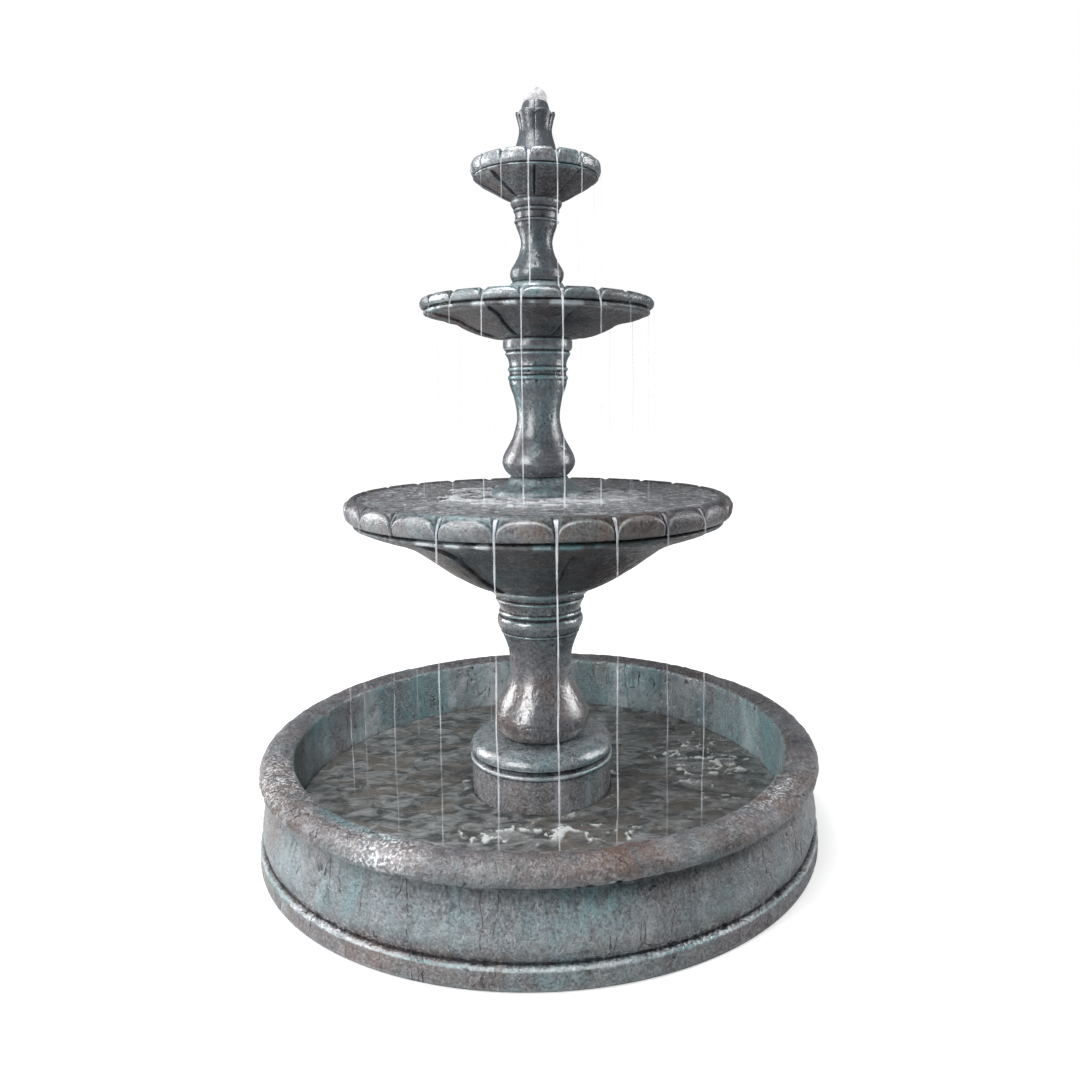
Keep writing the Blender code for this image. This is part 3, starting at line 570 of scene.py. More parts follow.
def make_housing():
    foot, top = box_of("pump_housing")
    inner = 0.1545
    profile = outline(
        run([(0.034, top.z), (0.130, top.z)], 0.02),
        run([(0.130, top.z), (0.150, top.z - 0.0003), (0.168, top.z - 0.0030),
             (0.183, top.z - 0.0085), (0.1930, top.z - 0.0165), (0.1980, top.z - 0.0260),
             (0.1985, top.z - 0.0320)], 0.003),
        run([(0.1985, top.z - 0.0320), (0.1970, top.z - 0.0375), (0.1925, top.z - 0.0405)],
            0.002),
        run([(0.1925, top.z - 0.0405), (0.1900, top.z - 0.0450), (0.1925, top.z - 0.0500)],
            0.002),
        run([(0.1925, top.z - 0.0500), (0.1985, top.z - 0.0535), (0.2000, top.z - 0.0575),
             (0.1985, top.z - 0.0615), (0.1960, top.z - 0.0640)], 0.002),
        run([(0.1960, top.z - 0.0640), (0.1950, top.z - 0.080), (0.1948, 0.130), (0.1940, 0.080),
             (0.1925, foot.z)], 0.004),
        run([(0.1925, foot.z), (inner, foot.z)], 0.012),
        run([(inner, foot.z), (inner, 0.205)], 0.012),
        run([(inner, 0.205), (0.034, 0.205)], 0.03),
        run([(0.034, 0.205), (0.034, top.z)], 0.02))

    def tints(xyz, azimuth, profile):
        z = xyz[..., 2]
        ragged = layered(xyz, 0.07, 4, 163) * 0.5 + 0.5
        cool = step(0.185, 0.21, z) * (0.35 + 0.8 * bump_at(azimuth, -5, 50)) * ragged * 1.3
        warm = step(0.185, 0.16, z) * (bump_at(azimuth, -12, 26) + 0.3) * ragged
        return {"teal": cool, "rust": warm, "edge": 0.35 * ragged}

    material = stone("housing_stone", teal=0.35, rust=0.15, pale=0.95, streaks=0.9, edge=0.9,
                     seed=4.2, gloss=0.24, grit=0.55, wet=0.9)
    housing = casting("housing", profile[:-1], even(420), material, ["pump_housing"],
                      relief=weather(0.8, 61), tints=tints)
    cut_door_opening(housing)
    door = frame["nodes"]["access_door"]
    door.data.materials.clear()
    door.data.materials.append(material)


def cut_door_opening(housing):
    """The opening follows the door's own box, with the gap that the frame leaves round it."""
    low, high = box_of("access_door")
    gap = 0.0006
    size = Vector((high.x - low.x + 2 * gap, 0.12, high.z - low.z + 2 * gap))
    centre = Vector((0, 0.17, (low.z + high.z) / 2))
    bm = bmesh.new()
    bmesh.ops.create_cube(bm, size=1,
                          matrix=Matrix.Translation(centre) @ Matrix.Diagonal(size).to_4x4())
    apply_cut(housing, cutter_from(bm, "door_opening"))


def cutter_from(bm, name):
    mesh = bpy.data.meshes.new(name)
    bm.to_mesh(mesh)
    bm.free()
    cutter = bpy.data.objects.new(name, mesh)
    bpy.context.scene.collection.objects.link(cutter)
    return cutter


def apply_cut(target, cutter):
    """Cut once, for good, so that no cutter is left in the scene."""
    modifier = target.modifiers.new("opening", "BOOLEAN")
    modifier.object = cutter
    modifier.solver = "EXACT"
    modifier.use_self = True
    bpy.context.view_layer.update()
    evaluated = target.evaluated_get(bpy.context.evaluated_depsgraph_get())
    mesh = bpy.data.meshes.new_from_object(evaluated)
    target.modifiers.clear()
    old = target.data
    target.data = mesh
    bpy.data.meshes.remove(old)
    mesh.name = target.name
    bpy.data.objects.remove(cutter)


def make_column(name, node, keys, material, steps, bore=0.0145, seed=0):
    """A turned column. keys are smooth runs of (radius, height above the foot)."""
    low, high = box_of(node)
    runs = [run(raised(points, low.z), 0.0026) for points in keys]
    inside = [run([(runs[-1][-1, 0], low.z), (bore, low.z)], 0.02),
              run([(bore, low.z), (bore, high.z)], 0.03),
              run([(bore, high.z), (runs[0][0, 0], high.z)], 0.02)]
    profile = outline(*runs, *inside)[:-1]
    casting(name, profile, even(steps), material, [node], relief=weather(0.75, seed))


def make_columns():
    material = stone("lower_column_stone", teal=0.30, rust=0.45, pale=0.30, streaks=0.40,
                     slate=0.05, edge=0.85, seed=8.1, gloss=0.20, grit=0.45, wet=0.95)
    make_column("lower_pedestal", "lower_column", [
        [(0.1300, 0.4154), (0.1340, 0.4130), (0.1345, 0.4080), (0.1330, 0.4020),
         (0.1270, 0.3965)],
        [(0.1270, 0.3965), (0.1235, 0.3925), (0.1180, 0.3895)],
        [(0.1180, 0.3895), (0.1190, 0.3860), (0.1225, 0.3838), (0.1220, 0.3805)],
        [(0.1220, 0.3805), (0.1165, 0.3710), (0.1125, 0.3600), (0.1110, 0.3520)],
        [(0.1110, 0.3520), (0.1128, 0.3500), (0.1145, 0.3470), (0.1140, 0.3435),
         (0.1115, 0.3415)],
        [(0.1115, 0.3415), (0.1108, 0.3385), (0.1125, 0.3360)],
        [(0.1125, 0.3360), (0.1165, 0.3330), (0.1185, 0.3265), (0.1187, 0.3190),
         (0.1170, 0.3105), (0.1135, 0.3015), (0.1085, 0.2940)],
        [(0.1085, 0.2940), (0.1095, 0.2920), (0.1088, 0.2885), (0.1060, 0.2865)],
        [(0.1060, 0.2865), (0.0985, 0.2660), (0.0900, 0.2400), (0.0862, 0.2100),
         (0.0860, 0.1860), (0.0890, 0.1600), (0.0960, 0.1370), (0.1080, 0.1130),
         (0.1205, 0.0880), (0.1295, 0.0640), (0.1332, 0.0430), (0.1320, 0.0270),
         (0.1250, 0.0120), (0.1160, 0.0030), (0.1110, 0.0)]], material, 420, seed=71)

    material = stone("middle_column_stone", teal=0.55, rust=0.10, pale=0.15, streaks=0.3,
                     slate=0.5, edge=0.85, seed=11.4, gloss=0.28, grit=0.40, wet=0.45)
    make_column("middle_pedestal", "middle_column", [
        [(0.0895, 0.3644), (0.0925, 0.3615), (0.0932, 0.3540), (0.0928, 0.3440),
         (0.0905, 0.3375)],
        [(0.0905, 0.3375), (0.0860, 0.3340), (0.0850, 0.3315)],
        [(0.0850, 0.3315), (0.0875, 0.3290), (0.0882, 0.3260), (0.0862, 0.3230)],
        [(0.0862, 0.3230), (0.0805, 0.3130), (0.0775, 0.3010), (0.0775, 0.2915)],
        [(0.0775, 0.2915), (0.0805, 0.2890), (0.0812, 0.2855), (0.0800, 0.2820),
         (0.0778, 0.2800)],
        [(0.0778, 0.2800), (0.0768, 0.2740), (0.0778, 0.2690)],
        [(0.0778, 0.2690), (0.0808, 0.2665), (0.0815, 0.2625), (0.0805, 0.2590),
         (0.0785, 0.2565)],
        [(0.0785, 0.2565), (0.0770, 0.2440), (0.0717, 0.2281), (0.0663, 0.2121),
         (0.0605, 0.1845), (0.0583, 0.1640), (0.0592, 0.1430), (0.0639, 0.1229),
         (0.0705, 0.1030), (0.0817, 0.0818), (0.0945, 0.0590), (0.0993, 0.0415),
         (0.0990, 0.0310), (0.0930, 0.0160), (0.0850, 0.0060), (0.0780, 0.0)]],
        material, 340, seed=83)

    material = stone("upper_column_stone", teal=0.35, rust=0.05, pale=0.12, streaks=0.25,
                     slate=0.65, edge=0.5, seed=15.9, gloss=0.32, grit=0.40, wet=0.28,
                     dark=0.38)
    make_column("upper_pedestal", "upper_column", [
        [(0.0655, 0.2087), (0.0675, 0.2065), (0.0676, 0.2010), (0.0650, 0.1955)],
        [(0.0650, 0.1955), (0.0615, 0.1900), (0.0596, 0.1870)],
        [(0.0596, 0.1870), (0.0606, 0.1850), (0.0606, 0.1825), (0.0585, 0.1800)],
        [(0.0585, 0.1800), (0.0568, 0.1770), (0.0565, 0.1660), (0.0568, 0.1590)],
        [(0.0568, 0.1590), (0.0590, 0.1570), (0.0590, 0.1545), (0.0562, 0.1520)],
        [(0.0562, 0.1520), (0.0530, 0.1420), (0.0470, 0.1270), (0.0428, 0.1110),
         (0.0424, 0.0980), (0.0450, 0.0830), (0.0505, 0.0665), (0.0600, 0.0480),
         (0.0690, 0.0330), (0.0719, 0.0226), (0.0705, 0.0110), (0.0670, 0.0030),
         (0.0650, 0.0)]], material, 280, seed=97)


def petal_form(petals, notch, bottom, crest, arch, height, gap_width, lean, seed):
    """How round-shouldered petals lie on a rim: where each stands proud, and its gaps."""
    def form(azimuth, profile):
        u = ((azimuth - radians(notch - 90)) * petals / (2 * pi)) % 1
        pick = petal_pick(azimuth, petals, notch, seed)
        side = 2 * u - 1
        reach = np.where(side > 0, 0.95 - lean, 0.97) - 0.03 * pick
        rise = (profile[None, :, 1] - bottom) / (crest - bottom)
        shoulder = np.clip(rise - arch, 0, None) / (height - arch + 0.04 * pick)
        panel = step(1.10, 0.90, (np.abs(side) / reach) ** 2.4 + shoulder ** 2.4)
        half = gap_width[0] + (gap_width[1] - gap_width[0]) * np.clip(rise, 0, 1) ** 1.5
        half = half * (0.8 + 0.4 * pick)
        gap = np.clip((np.abs(side) - 1 + half) / half, 0, 1) ** 0.8
        return panel, gap, pick
    return form


def petalled(form):
    """Shape a rim into petals.

    Columns 2 to 4 of the outline say how far a petal stands out, how deep a gap is cut
    there, and how far the gap lowers it.
    """
    def shape(r, z, azimuth, profile):
        panel, gap, pick = form(azimuth, profile)
        proud, cut, dip = (profile[None, :, k] for k in (2, 3, 4))
        swell = 1 + 0.25 * (pick - 0.5)
        return r + proud * swell * panel - cut * gap, z - dip * gap
    return shape


def leafy(leaf0, depth, seed):
    """Relief of broad overlapping leaves under a bowl. Column 5 of the outline weighs it."""
    def relief(xyz, azimuth, profile):
        weight = profile[None, :, 5]
        r = np.hypot(xyz[..., 0], xyz[..., 1])
        u, away = leaf_place(azimuth, r, leaf0)
        cut = -np.exp(-(away / 0.0030) ** 2) * depth * 0.9
        overlap = (u - 0.5) * 1.3 * depth + np.sin(pi * u) ** 0.7 * 0.5 * depth
        return weather(0.55, seed)(xyz, azimuth, profile) + weight * (cut + overlap)
    return relief


def leaf_place(azimuth, r, leaf0):
    """Place across a leaf, 0 to 1, and the distance to the nearest edge of a leaf."""
    curl = 0.10 * (1 - r / r.max())
    u = ((azimuth - radians(leaf0 - 90)) * LEAVES / (2 * pi) + curl) % 1
    return u, np.minimum(u, 1 - u) * 2 * pi / LEAVES * r


def make_bowl(name, node, petals, notch, samples, leaf0, rim, ledge, under, inside, hub_r,
              material, petal, depth, stains_and_painted_light, seed):
    """rim holds (radius, height, proud, gap, dip), and under holds (radius, height, leaf)."""
    low, high = box_of(node)
    bore = 0.0185

    def plain(points):
        return [(*p, 0, 0, 0, 0) for p in points]

    foot_r = under[-1][0]
    profile = outline(
        run([(*p, 0) for p in rim], 0.0022),
        run(plain(ledge), 0.0016),
        run([(p[0], p[1], 0, 0, 0, p[2]) for p in under], 0.0050),
        run(plain([(foot_r, low.z), (bore, low.z)]), 0.04),
        run(plain([(bore, low.z), (bore, high.z)]), 0.04),
        run(plain([(bore, high.z), (hub_r, high.z)]), 0.02),
        run(plain([(hub_r, high.z)] + inside), 0.010),
        run([(*inside[-1], 0, 0, 0, 0), (*rim[0], 0)], 0.006))[:-1]
    rim_low, ledge_low = rim[-1][1], ledge[-1][1]
    form = petal_form(petals, notch, rim_low, max(p[1] for p in rim), seed=seed, **petal)
    casting(name, profile, round_petals(petals, notch, samples), material, [node],
            shape=petalled(form), relief=leafy(leaf0, depth, seed), wear=0.4,
            tints=bowl_tints(form, leaf0, rim_low, ledge_low, **stains_and_painted_light))


def bowl_tints(form, leaf0, rim_low, ledge_low, hub_lip, bead, bead_teal, petal_teal,
               petal_rust, chalk_and_highlight, white, top_shade, right_shade):
    """Marks on a bowl: verdigris and rust, painted highlights on part of the bead under the petals, on the petal
    arches and on the left-hand petals, a painted glint ring on the hub, and painted shade in the gaps and corners,
    on the ledge, under the bowl and on the right-hand petals.
    """
    def tints(xyz, azimuth, profile):
        z, r = profile[None, :, 1], profile[None, :, 0]
        degrees = (np.degrees(azimuth) + 90 + 180) % 360 - 180
        ragged = layered(xyz, 0.045, 4, 171) * 0.5 + 0.5
        outer = step(0.90, 0.93, r / r.max()) * (r > 0.9 * r.max())
        rim = step(rim_low - 0.002, rim_low + 0.002, z) * outer
        ledge = (1 - step(rim_low - 0.003, rim_low - 0.001, z)) * outer
        ledge = ledge * step(ledge_low - 0.001, ledge_low + 0.001, z)
        # Painted highlight on the bead under the petals, broken up, on one stretch at the front.
        broken = step(0.40, 0.52, noise(xyz * np.array([1, 1, 0.1]), 0.026, 173) * 0.5 + 0.5)
        bead_highlight_mask = ledge * broken * step(bead[0] - 6, bead[0] + 2, degrees)
        bead_highlight_mask = bead_highlight_mask * step(bead[1] + 12, bead[1], degrees)
        panel, gap, pick = form(azimuth, profile)
        corner = rim * (1 - panel)
        # Painted highlight along each petal's arch outline.
        lip = rim * np.clip(4 * panel * (1 - panel), 0, 1) ** 2
        left = 1 - step(-8, 14, degrees)
        cool = bead_teal * bead_highlight_mask + petal_teal * rim * bump_at(azimuth, -4, 30) * ragged
        cool = cool + rim * gap * 0.9 * bump_at(azimuth, -14, 13)
        cool = cool + 0.7 * corner * bump_at(azimuth, -20, 20)
        warm = petal_rust * rim * (bump_at(azimuth, 12, 20) + 0.6 * pick) * ragged
        _, away = leaf_place(azimuth, r, leaf0)
        below = step(ledge_low, ledge_low - 0.004, z) * step(0.2, 0.3, r / r.max())
        cool = cool + below * bump_at(azimuth, -22, 9) * ragged * 0.6
        # Painted shade: under the bowl, darker on the right, with dark lines where the leaves meet; on the ledge
        # away from the lit bead; in the gaps between petals, lighter at the front left; in the corners beside the
        # arches; and on the right-hand petals.
        shade = below * np.maximum(step(0.0045, 0.0015, away), 0.42 + 0.2 * (1 - left))
        shade = np.maximum(shade, ledge * (1 - bead_highlight_mask) * 0.6)
        shade = np.maximum(shade, rim * gap * (1 - 0.75 * bump_at(azimuth, -16, 13)))
        shade = np.maximum(shade, corner * top_shade * (1 - 0.5 * bump_at(azimuth, -16, 13)))
        shade = np.maximum(shade, rim * panel * right_shade * (1 - left) * (0.5 + pick))
        # Painted highlights: the lit bead, the left-hand petal faces, and the arch outlines, fainter at the front.
        pale = white * bead_highlight_mask + rim * panel * chalk_and_highlight * bump_at(azimuth, -50, 24) * ragged
        pale = np.maximum(pale, lip * (0.55 - 0.35 * bump_at(azimuth, 0, 34)) * (0.5 + ragged))
        # Painted highlight: a pale glint ring on the hub's lip.
        hub_ring_glint = np.exp(-((r - hub_lip[0]) ** 2 + (z - hub_lip[1]) ** 2) / 8e-6)
        brown = below * (0.30 + 0.70 * bump_at(azimuth, -55, 24)) * ragged
        hub = (r < 0.45 * r.max()) * step(rim_low, rim_low + 0.03, z)
        return {"teal": np.maximum(cool, 0.6 * hub), "rust": np.maximum(warm, brown),
                "edge": np.maximum(pale, 0.7 * hub_ring_glint), "hollow": np.maximum(shade, 0.25 * hub)}
    return tints


LOWER_PETALS, LOWER_NOTCH = 24, 6.3
MIDDLE_PETALS, MIDDLE_NOTCH = 20, -4.7
UPPER_PETALS, UPPER_NOTCH = 15, -3.9
LEAVES = 8


def make_bowls():
    make_bowl(
        "lower_tier", "lower_bowl", LOWER_PETALS, LOWER_NOTCH, 36, 14.5,
        rim=[(0.4820, 0.9080, 0, 0, 0.001), (0.4860, 0.9165, 0, 0, 0.002),
             (0.4915, 0.9222, 0, 0, 0.003), (0.4975, 0.9243, 0.0010, 0.003, 0.005),
             (0.5040, 0.9222, 0.0026, 0.011, 0.008), (0.5090, 0.9165, 0.0054, 0.017, 0.007),
             (0.5120, 0.9085, 0.0084, 0.018, 0.003), (0.5145, 0.8990, 0.0074, 0.013, 0.001),
             (0.5160, 0.8880, 0.0052, 0.007, 0), (0.5160, 0.8780, 0.0030, 0.002, 0),
             (0.5120, 0.8690, 0.0010, 0, 0), (0.5030, 0.8665, 0, 0, 0)],
        ledge=[(0.5030, 0.8665), (0.4890, 0.8655), (0.4872, 0.8615), (0.4960, 0.8590),
               (0.4990, 0.8555), (0.4975, 0.8505), (0.4890, 0.8480)],
        under=[(0.4890, 0.8480, 0), (0.4800, 0.8440, 0.6), (0.4500, 0.8350, 1),
               (0.4090, 0.8210, 1), (0.3690, 0.8030, 1), (0.3390, 0.7850, 1),
               (0.3000, 0.7570, 1), (0.2590, 0.7270, 1), (0.2080, 0.6970, 1),
               (0.1680, 0.6770, 0.7), (0.1500, 0.6725, 0)],
        inside=[(0.0800, 0.9690), (0.0840, 0.9590), (0.0920, 0.9500), (0.1030, 0.9440),
                (0.1150, 0.9400), (0.1245, 0.9355), (0.1282, 0.9290), (0.1290, 0.9190),
                (0.1320, 0.9000), (0.1380, 0.7900), (0.1650, 0.7300),
                (0.2150, 0.7330), (0.3400, 0.8080), (0.4400, 0.8580), (0.4790, 0.8850)],
        hub_r=0.0780,
        material=stone("lower_bowl_stone", teal=0.20, rust=0.55, pale=0.30, streaks=0.30,
                       edge=0.9, seed=21.3, gloss=0.26, grit=0.6, wet=0.32, dark=0.10),
        petal={"arch": 0.22, "height": 0.86, "gap_width": (0.035, 0.19), "lean": 0.02},
        depth=0.0060, stains_and_painted_light={"hub_lip": (0.1265, 0.9335), "bead": (-33, 12), "bead_teal": 0.35,
                "petal_teal": 0.45, "petal_rust": 1.5, "chalk_and_highlight": 0.5, "white": 1.3, "top_shade": 0.78, "right_shade": 0.35}, seed=101)
    make_bowl(
        "middle_tier", "middle_bowl", MIDDLE_PETALS, MIDDLE_NOTCH, 32, 23.0,
        rim=[(0.2840, 1.4290, 0, 0, 0.002), (0.2870, 1.4385, 0, 0, 0.005),
             (0.2940, 1.4438, 0.0005, 0.001, 0.008), (0.3000, 1.4420, 0.0024, 0.008, 0.009),
             (0.3045, 1.4365, 0.0046, 0.012, 0.007), (0.3070, 1.4290, 0.0050, 0.012, 0.002),
             (0.3078, 1.4210, 0.0026, 0.004, 0), (0.3050, 1.4165, 0.0005, 0, 0),
             (0.3010, 1.4155, 0, 0, 0)],
        ledge=[(0.3010, 1.4155), (0.2945, 1.4150), (0.2935, 1.4125), (0.2995, 1.4108),
               (0.3018, 1.4075), (0.3005, 1.4020), (0.2940, 1.3998)],
        under=[(0.2940, 1.3998, 0), (0.2860, 1.3985, 0.5), (0.2750, 1.3955, 1),
               (0.2500, 1.3905, 1), (0.2290, 1.3855, 1), (0.2120, 1.3790, 1),
               (0.1970, 1.3700, 1), (0.1610, 1.3545, 1), (0.1330, 1.3462, 0.7),
               (0.1150, 1.3425, 0)],
        inside=[(0.0715, 1.4845), (0.0735, 1.4780), (0.0780, 1.4700), (0.0850, 1.4610),
                (0.0905, 1.4480), (0.0950, 1.4250), (0.1050, 1.3760), (0.1300, 1.3730),
                (0.1600, 1.3830), (0.2150, 1.4040), (0.2600, 1.4120), (0.2800, 1.4200)],
        hub_r=0.0690,
        material=stone("middle_bowl_stone", teal=0.40, rust=0.20, pale=0.25, streaks=0.25,
                       edge=0.9, seed=27.8, gloss=0.26, grit=0.5, wet=0.6, dark=0.15),
        petal={"arch": 0.12, "height": 0.90, "gap_width": (0.030, 0.22), "lean": 0.03},
        depth=0.0048, stains_and_painted_light={"hub_lip": (0.0735, 1.4780), "bead": (-75, 30), "bead_teal": 0.75,
                "petal_teal": 1.6, "petal_rust": 0.35, "chalk_and_highlight": 0.9, "white": 1.1, "top_shade": 0.9, "right_shade": 0.35}, seed=113)
    make_bowl(
        "upper_tier", "upper_bowl", UPPER_PETALS, UPPER_NOTCH, 32, 1.0,
        rim=[(0.1500, 1.7820, 0, 0, 0.002), (0.1520, 1.7905, 0, 0, 0.005),
             (0.1570, 1.7965, 0, 0.002, 0.009), (0.1630, 1.7955, 0.0012, 0.010, 0.014),
             (0.1672, 1.7900, 0.0024, 0.014, 0.013), (0.1690, 1.7790, 0.0028, 0.011, 0.005),
             (0.1690, 1.7690, 0.0016, 0.004, 0.001), (0.1670, 1.7630, 0, 0, 0),
             (0.1640, 1.7610, 0, 0, 0)],
        ledge=[(0.1640, 1.7610), (0.1605, 1.7605), (0.1598, 1.7588), (0.1640, 1.7572),
               (0.1650, 1.7548), (0.1600, 1.7528)],
        under=[(0.1600, 1.7528, 0), (0.1460, 1.7440, 1), (0.1190, 1.7290, 1),
               (0.0937, 1.7140, 1), (0.0760, 1.7050, 0.7), (0.0660, 1.7012, 0)],
        inside=[(0.0605, 1.7985), (0.0618, 1.7900), (0.0640, 1.7700), (0.0700, 1.7460),
                (0.0850, 1.7400), (0.1000, 1.7440), (0.1280, 1.7570), (0.1450, 1.7700)],
        hub_r=0.0590,
        material=stone("upper_bowl_stone", teal=0.25, rust=0.15, pale=0.50, streaks=0.25,
                       edge=0.85, seed=33.1, gloss=0.26, grit=0.45, wet=0.6),
        petal={"arch": 0.38, "height": 0.97, "gap_width": (0.040, 0.28), "lean": 0.08},
        depth=0.0042, stains_and_painted_light={"hub_lip": (0.0605, 1.7985), "bead": (-70, 40), "bead_teal": 0.0,
                "petal_teal": 0.30, "petal_rust": 0.1, "chalk_and_highlight": 0.9, "white": 0.9, "top_shade": 0.6, "right_shade": 0.0}, seed=127)


def make_finial():
    low, high = box_of("finial")
    top, foot = high.z, low.z
    collar = [(0.0260, top - 0.0005, 0.0005), (0.0300, top, 0.001), (0.0330, top - 0.0045, 0.0012),
              (0.0352, top - 0.0120, 0.0014), (0.0378, top - 0.0220, 0.0016),
              (0.0400, top - 0.0300, 0.0020)]
    petals = [(0.0400, top - 0.0300, 0.0020), (0.0455, top - 0.0272, 0.0034),
              (0.0505, top - 0.0258, 0.0040), (0.0518, top - 0.0295, 0.0040),
              (0.0498, top - 0.0380, 0.0040), (0.0474, top - 0.0455, 0.0038)]
    body = [(0.0474, top - 0.0455, 0.0038), (0.0458, top - 0.0530, 0.0034),
            (0.0435, top - 0.0640, 0.0028), (0.0432, top - 0.0760, 0.0022),
            (0.0460, top - 0.0900, 0.0018), (0.0500, top - 0.1040, 0.0014),
            (0.0540, top - 0.1180, 0.0008), (0.0575, top - 0.1320, 0), (0.0570, top - 0.1420, 0),
            (0.0550, foot, 0)]
    profile = outline(
        run(collar, 0.0016), run(petals, 0.0016), run(body, 0.0025),
        run([(0.0550, foot, 0), (0.0145, foot, 0)], 0.02),
        run([(0.0145, foot, 0), (0.0145, top - 0.040, 0)], 0.02),
        run([(0.0145, top - 0.040, 0), (0.0190, top - 0.0200, 0), collar[0]], 0.004))[:-1]

    def shape(r, z, azimuth, profile):
        x = petal_place(azimuth, 6, 0.0)
        curve = 1 - np.sqrt(np.clip(1 - x ** 2.4, 0, 1))
        tip = step(top - 0.040, top - 0.030, z) * step(0.040, 0.048, r)
        return r - profile[None, :, 2] * curve, z - 0.012 * tip * curve

    material = stone("finial_stone", teal=0.15, rust=0.0, pale=0.08, streaks=0.2, slate=0.8,
                     edge=0.1, seed=39.6, gloss=0.36, grit=0.35, wet=0.16, dark=0.42)
    casting("tulip_finial", profile, round_petals(6, 0.0, 44, 0.5), material, ["finial"],
            shape=shape, relief=weather(0.35, 131))


# ---------------------------------------------------------------- water pieces

def impact_rings(xyz, places, size):
    """Ripples that spread from where the streams land."""
    total = 0
    for x, y, strength in places:
        d = np.hypot(xyz[..., 0] - x, xyz[..., 1] - y)
        total = total + strength * np.cos(d * 2 * pi / size) * np.exp(-d / (size * 1.6))
    return total


def water_sheet(name, inner, outer, level, thickness, around, spacing, material, places,
                wave, foam_at, seed):
    """A thin body of water between a hub and a wall, with a rippled, foam-flecked top."""
    profile = outline(
        run([(inner, level), (outer, level)], spacing),
        run([(outer, level), (outer, level - thickness)], thickness),
        run([(outer, level - thickness), (inner, level - thickness)], 0.05),
        run([(inner, level - thickness), (inner, level)], thickness))[:-1]
    a = even(around)[:, None]
    r = np.repeat(profile[None, :, 0], around, 0)
    z = np.repeat(profile[None, :, 1], around, 0)
    xyz = np.stack([r * np.cos(a), r * np.sin(a), z], axis=-1)
    top = (profile[:, 1] > level - 1e-6)[None, :] * step(0, 0.02, outer - r)
    swell = layered(xyz * np.array([1, 1.5, 1]), 0.055, 4, seed)
    rings = impact_rings(xyz, places, 0.034)
    foam = np.clip(foam_at(xyz), 0, 1) * (profile[:, 1] > level - 1e-6)[None, :]
    lift = wave * (swell + 0.8 * rings) + 0.0045 * foam
    xyz[..., 2] += lift * top
    mesh = grid_mesh(name, xyz, True, {"foam": foam})
    return add_piece(name, mesh, material)


def stream_places(petals, notch):
    """Azimuth and strength of the water thread below each notch of a rim."""
    threads = []
    for k in range(petals):
        degrees = (notch + k * 360 / petals + 180) % 360 - 180
        pick = float(hashed(np.int64(k), np.int64(petals), np.int64(3), 11))
        front = np.exp(-(degrees / 45) ** 2)
        threads.append((radians(degrees - 90), 0.09 + 0.40 * pick * pick + 0.55 * front))
    return threads


def thread_mesh(bm, azimuth, lip, fall_r, bottom, width, seed):
    """One falling thread: a fan over the lip that draws together, then wavers as it falls."""
    count, sides = 72, 8
    start_r, top = lip
    s = np.linspace(0, 1, count) ** 1.4
    z = top - (top - bottom) * s
    drop = np.clip((top - z) / 0.035, 0, 1)
    r = start_r + (fall_r - start_r) * np.sqrt(drop)
    along = np.stack([s * 0 + seed, s * 0, z], -1)
    free = step(0.02, 0.15, top - z)
    sway = noise(along, 0.11, 7) * 0.0020 * free
    lean = noise(along, 0.09, 8) * 0.0020 * free
    beads = 1 + 0.30 * noise(along, 0.018, 9) * free
    thick = width * (0.75 + 0.45 * (1 - step(0, 0.2, s)) + 0.15 * step(0.9, 1, s)) * beads
    fan = 1.15 + 0.9 * (1 - step(0.0, 0.028, top - z))
    rows = []
    for k in range(count):
        ring = []
        for j in range(sides):
            t = 2 * pi * j / sides
            out = r[k] + sway[k] + thick[k] * cos(t) * 0.7
            aside = lean[k] + thick[k] * sin(t) * fan[k]
            ring.append(bm.verts.new((out * cos(azimuth) - aside * sin(azimuth),
                                      out * sin(azimuth) + aside * cos(azimuth), z[k])))
        rows.append(ring)
    for upper, lower in zip(rows, rows[1:]):
        for j in range(sides):
            n = (j + 1) % sides
            bm.faces.new((upper[j], lower[j], lower[n], upper[n]))
    bm.faces.new(rows[0])
    bm.faces.new(rows[-1][::-1])


def make_streams(name, threads, lip, fall_r, bottom, width, material, seed):
    bm = bmesh.new()
    for number, (azimuth, strength) in enumerate(threads):
        thread_mesh(bm, azimuth, lip, fall_r, bottom, width * (0.5 + 0.5 * strength),
                    seed + number)
    mesh = bpy.data.meshes.new(name)
    bm.to_mesh(mesh)
    bm.free()
    flow = mesh.attributes.new("flow", "FLOAT", "POINT")
    share = len(mesh.vertices) // len(threads)
    flow.data.foreach_set("value", np.repeat([strength for _, strength in threads], share))
    mesh.shade_smooth()
    return add_piece(name, mesh, material)


def landing(threads, fall_r):
    return [(fall_r * cos(a), fall_r * sin(a), strength) for a, strength in threads]


def pool_foam(hits):
    """Foam in front of the pump housing, a lace of it to the right, and where threads land."""
    def foam(xyz):
        x, y = xyz[..., 0], xyz[..., 1]
        r = np.hypot(x, y)
        grain = layered(xyz, 0.028, 4, 203)
        lace = layered(xyz * np.array([1, 1.5, 1]), 0.050, 4, 207)
        front = np.exp(-((x - 0.04) / 0.25) ** 4 - ((y + 0.295) / 0.050) ** 2)
        right = np.exp(-((x - 0.48) / 0.17) ** 2 - ((y - 0.15) / 0.28) ** 2)
        ring = np.exp(-((r - 0.215) / 0.022) ** 2) * 0.40
        near = 0
        for hx, hy, strength in hits:
            near = near + 0.6 * strength * np.exp(-((x - hx) ** 2 + (y - hy) ** 2) / 0.0010)
        amount = 0.92 * front + 0.74 * right + ring + near + 0.10
        web = np.clip(1 - np.abs(lace) * 4.5, 0, 1)
        return 0.95 * step(0.50, 0.86, amount * (0.26 + 0.90 * grain + 0.95 * web))
    return foam


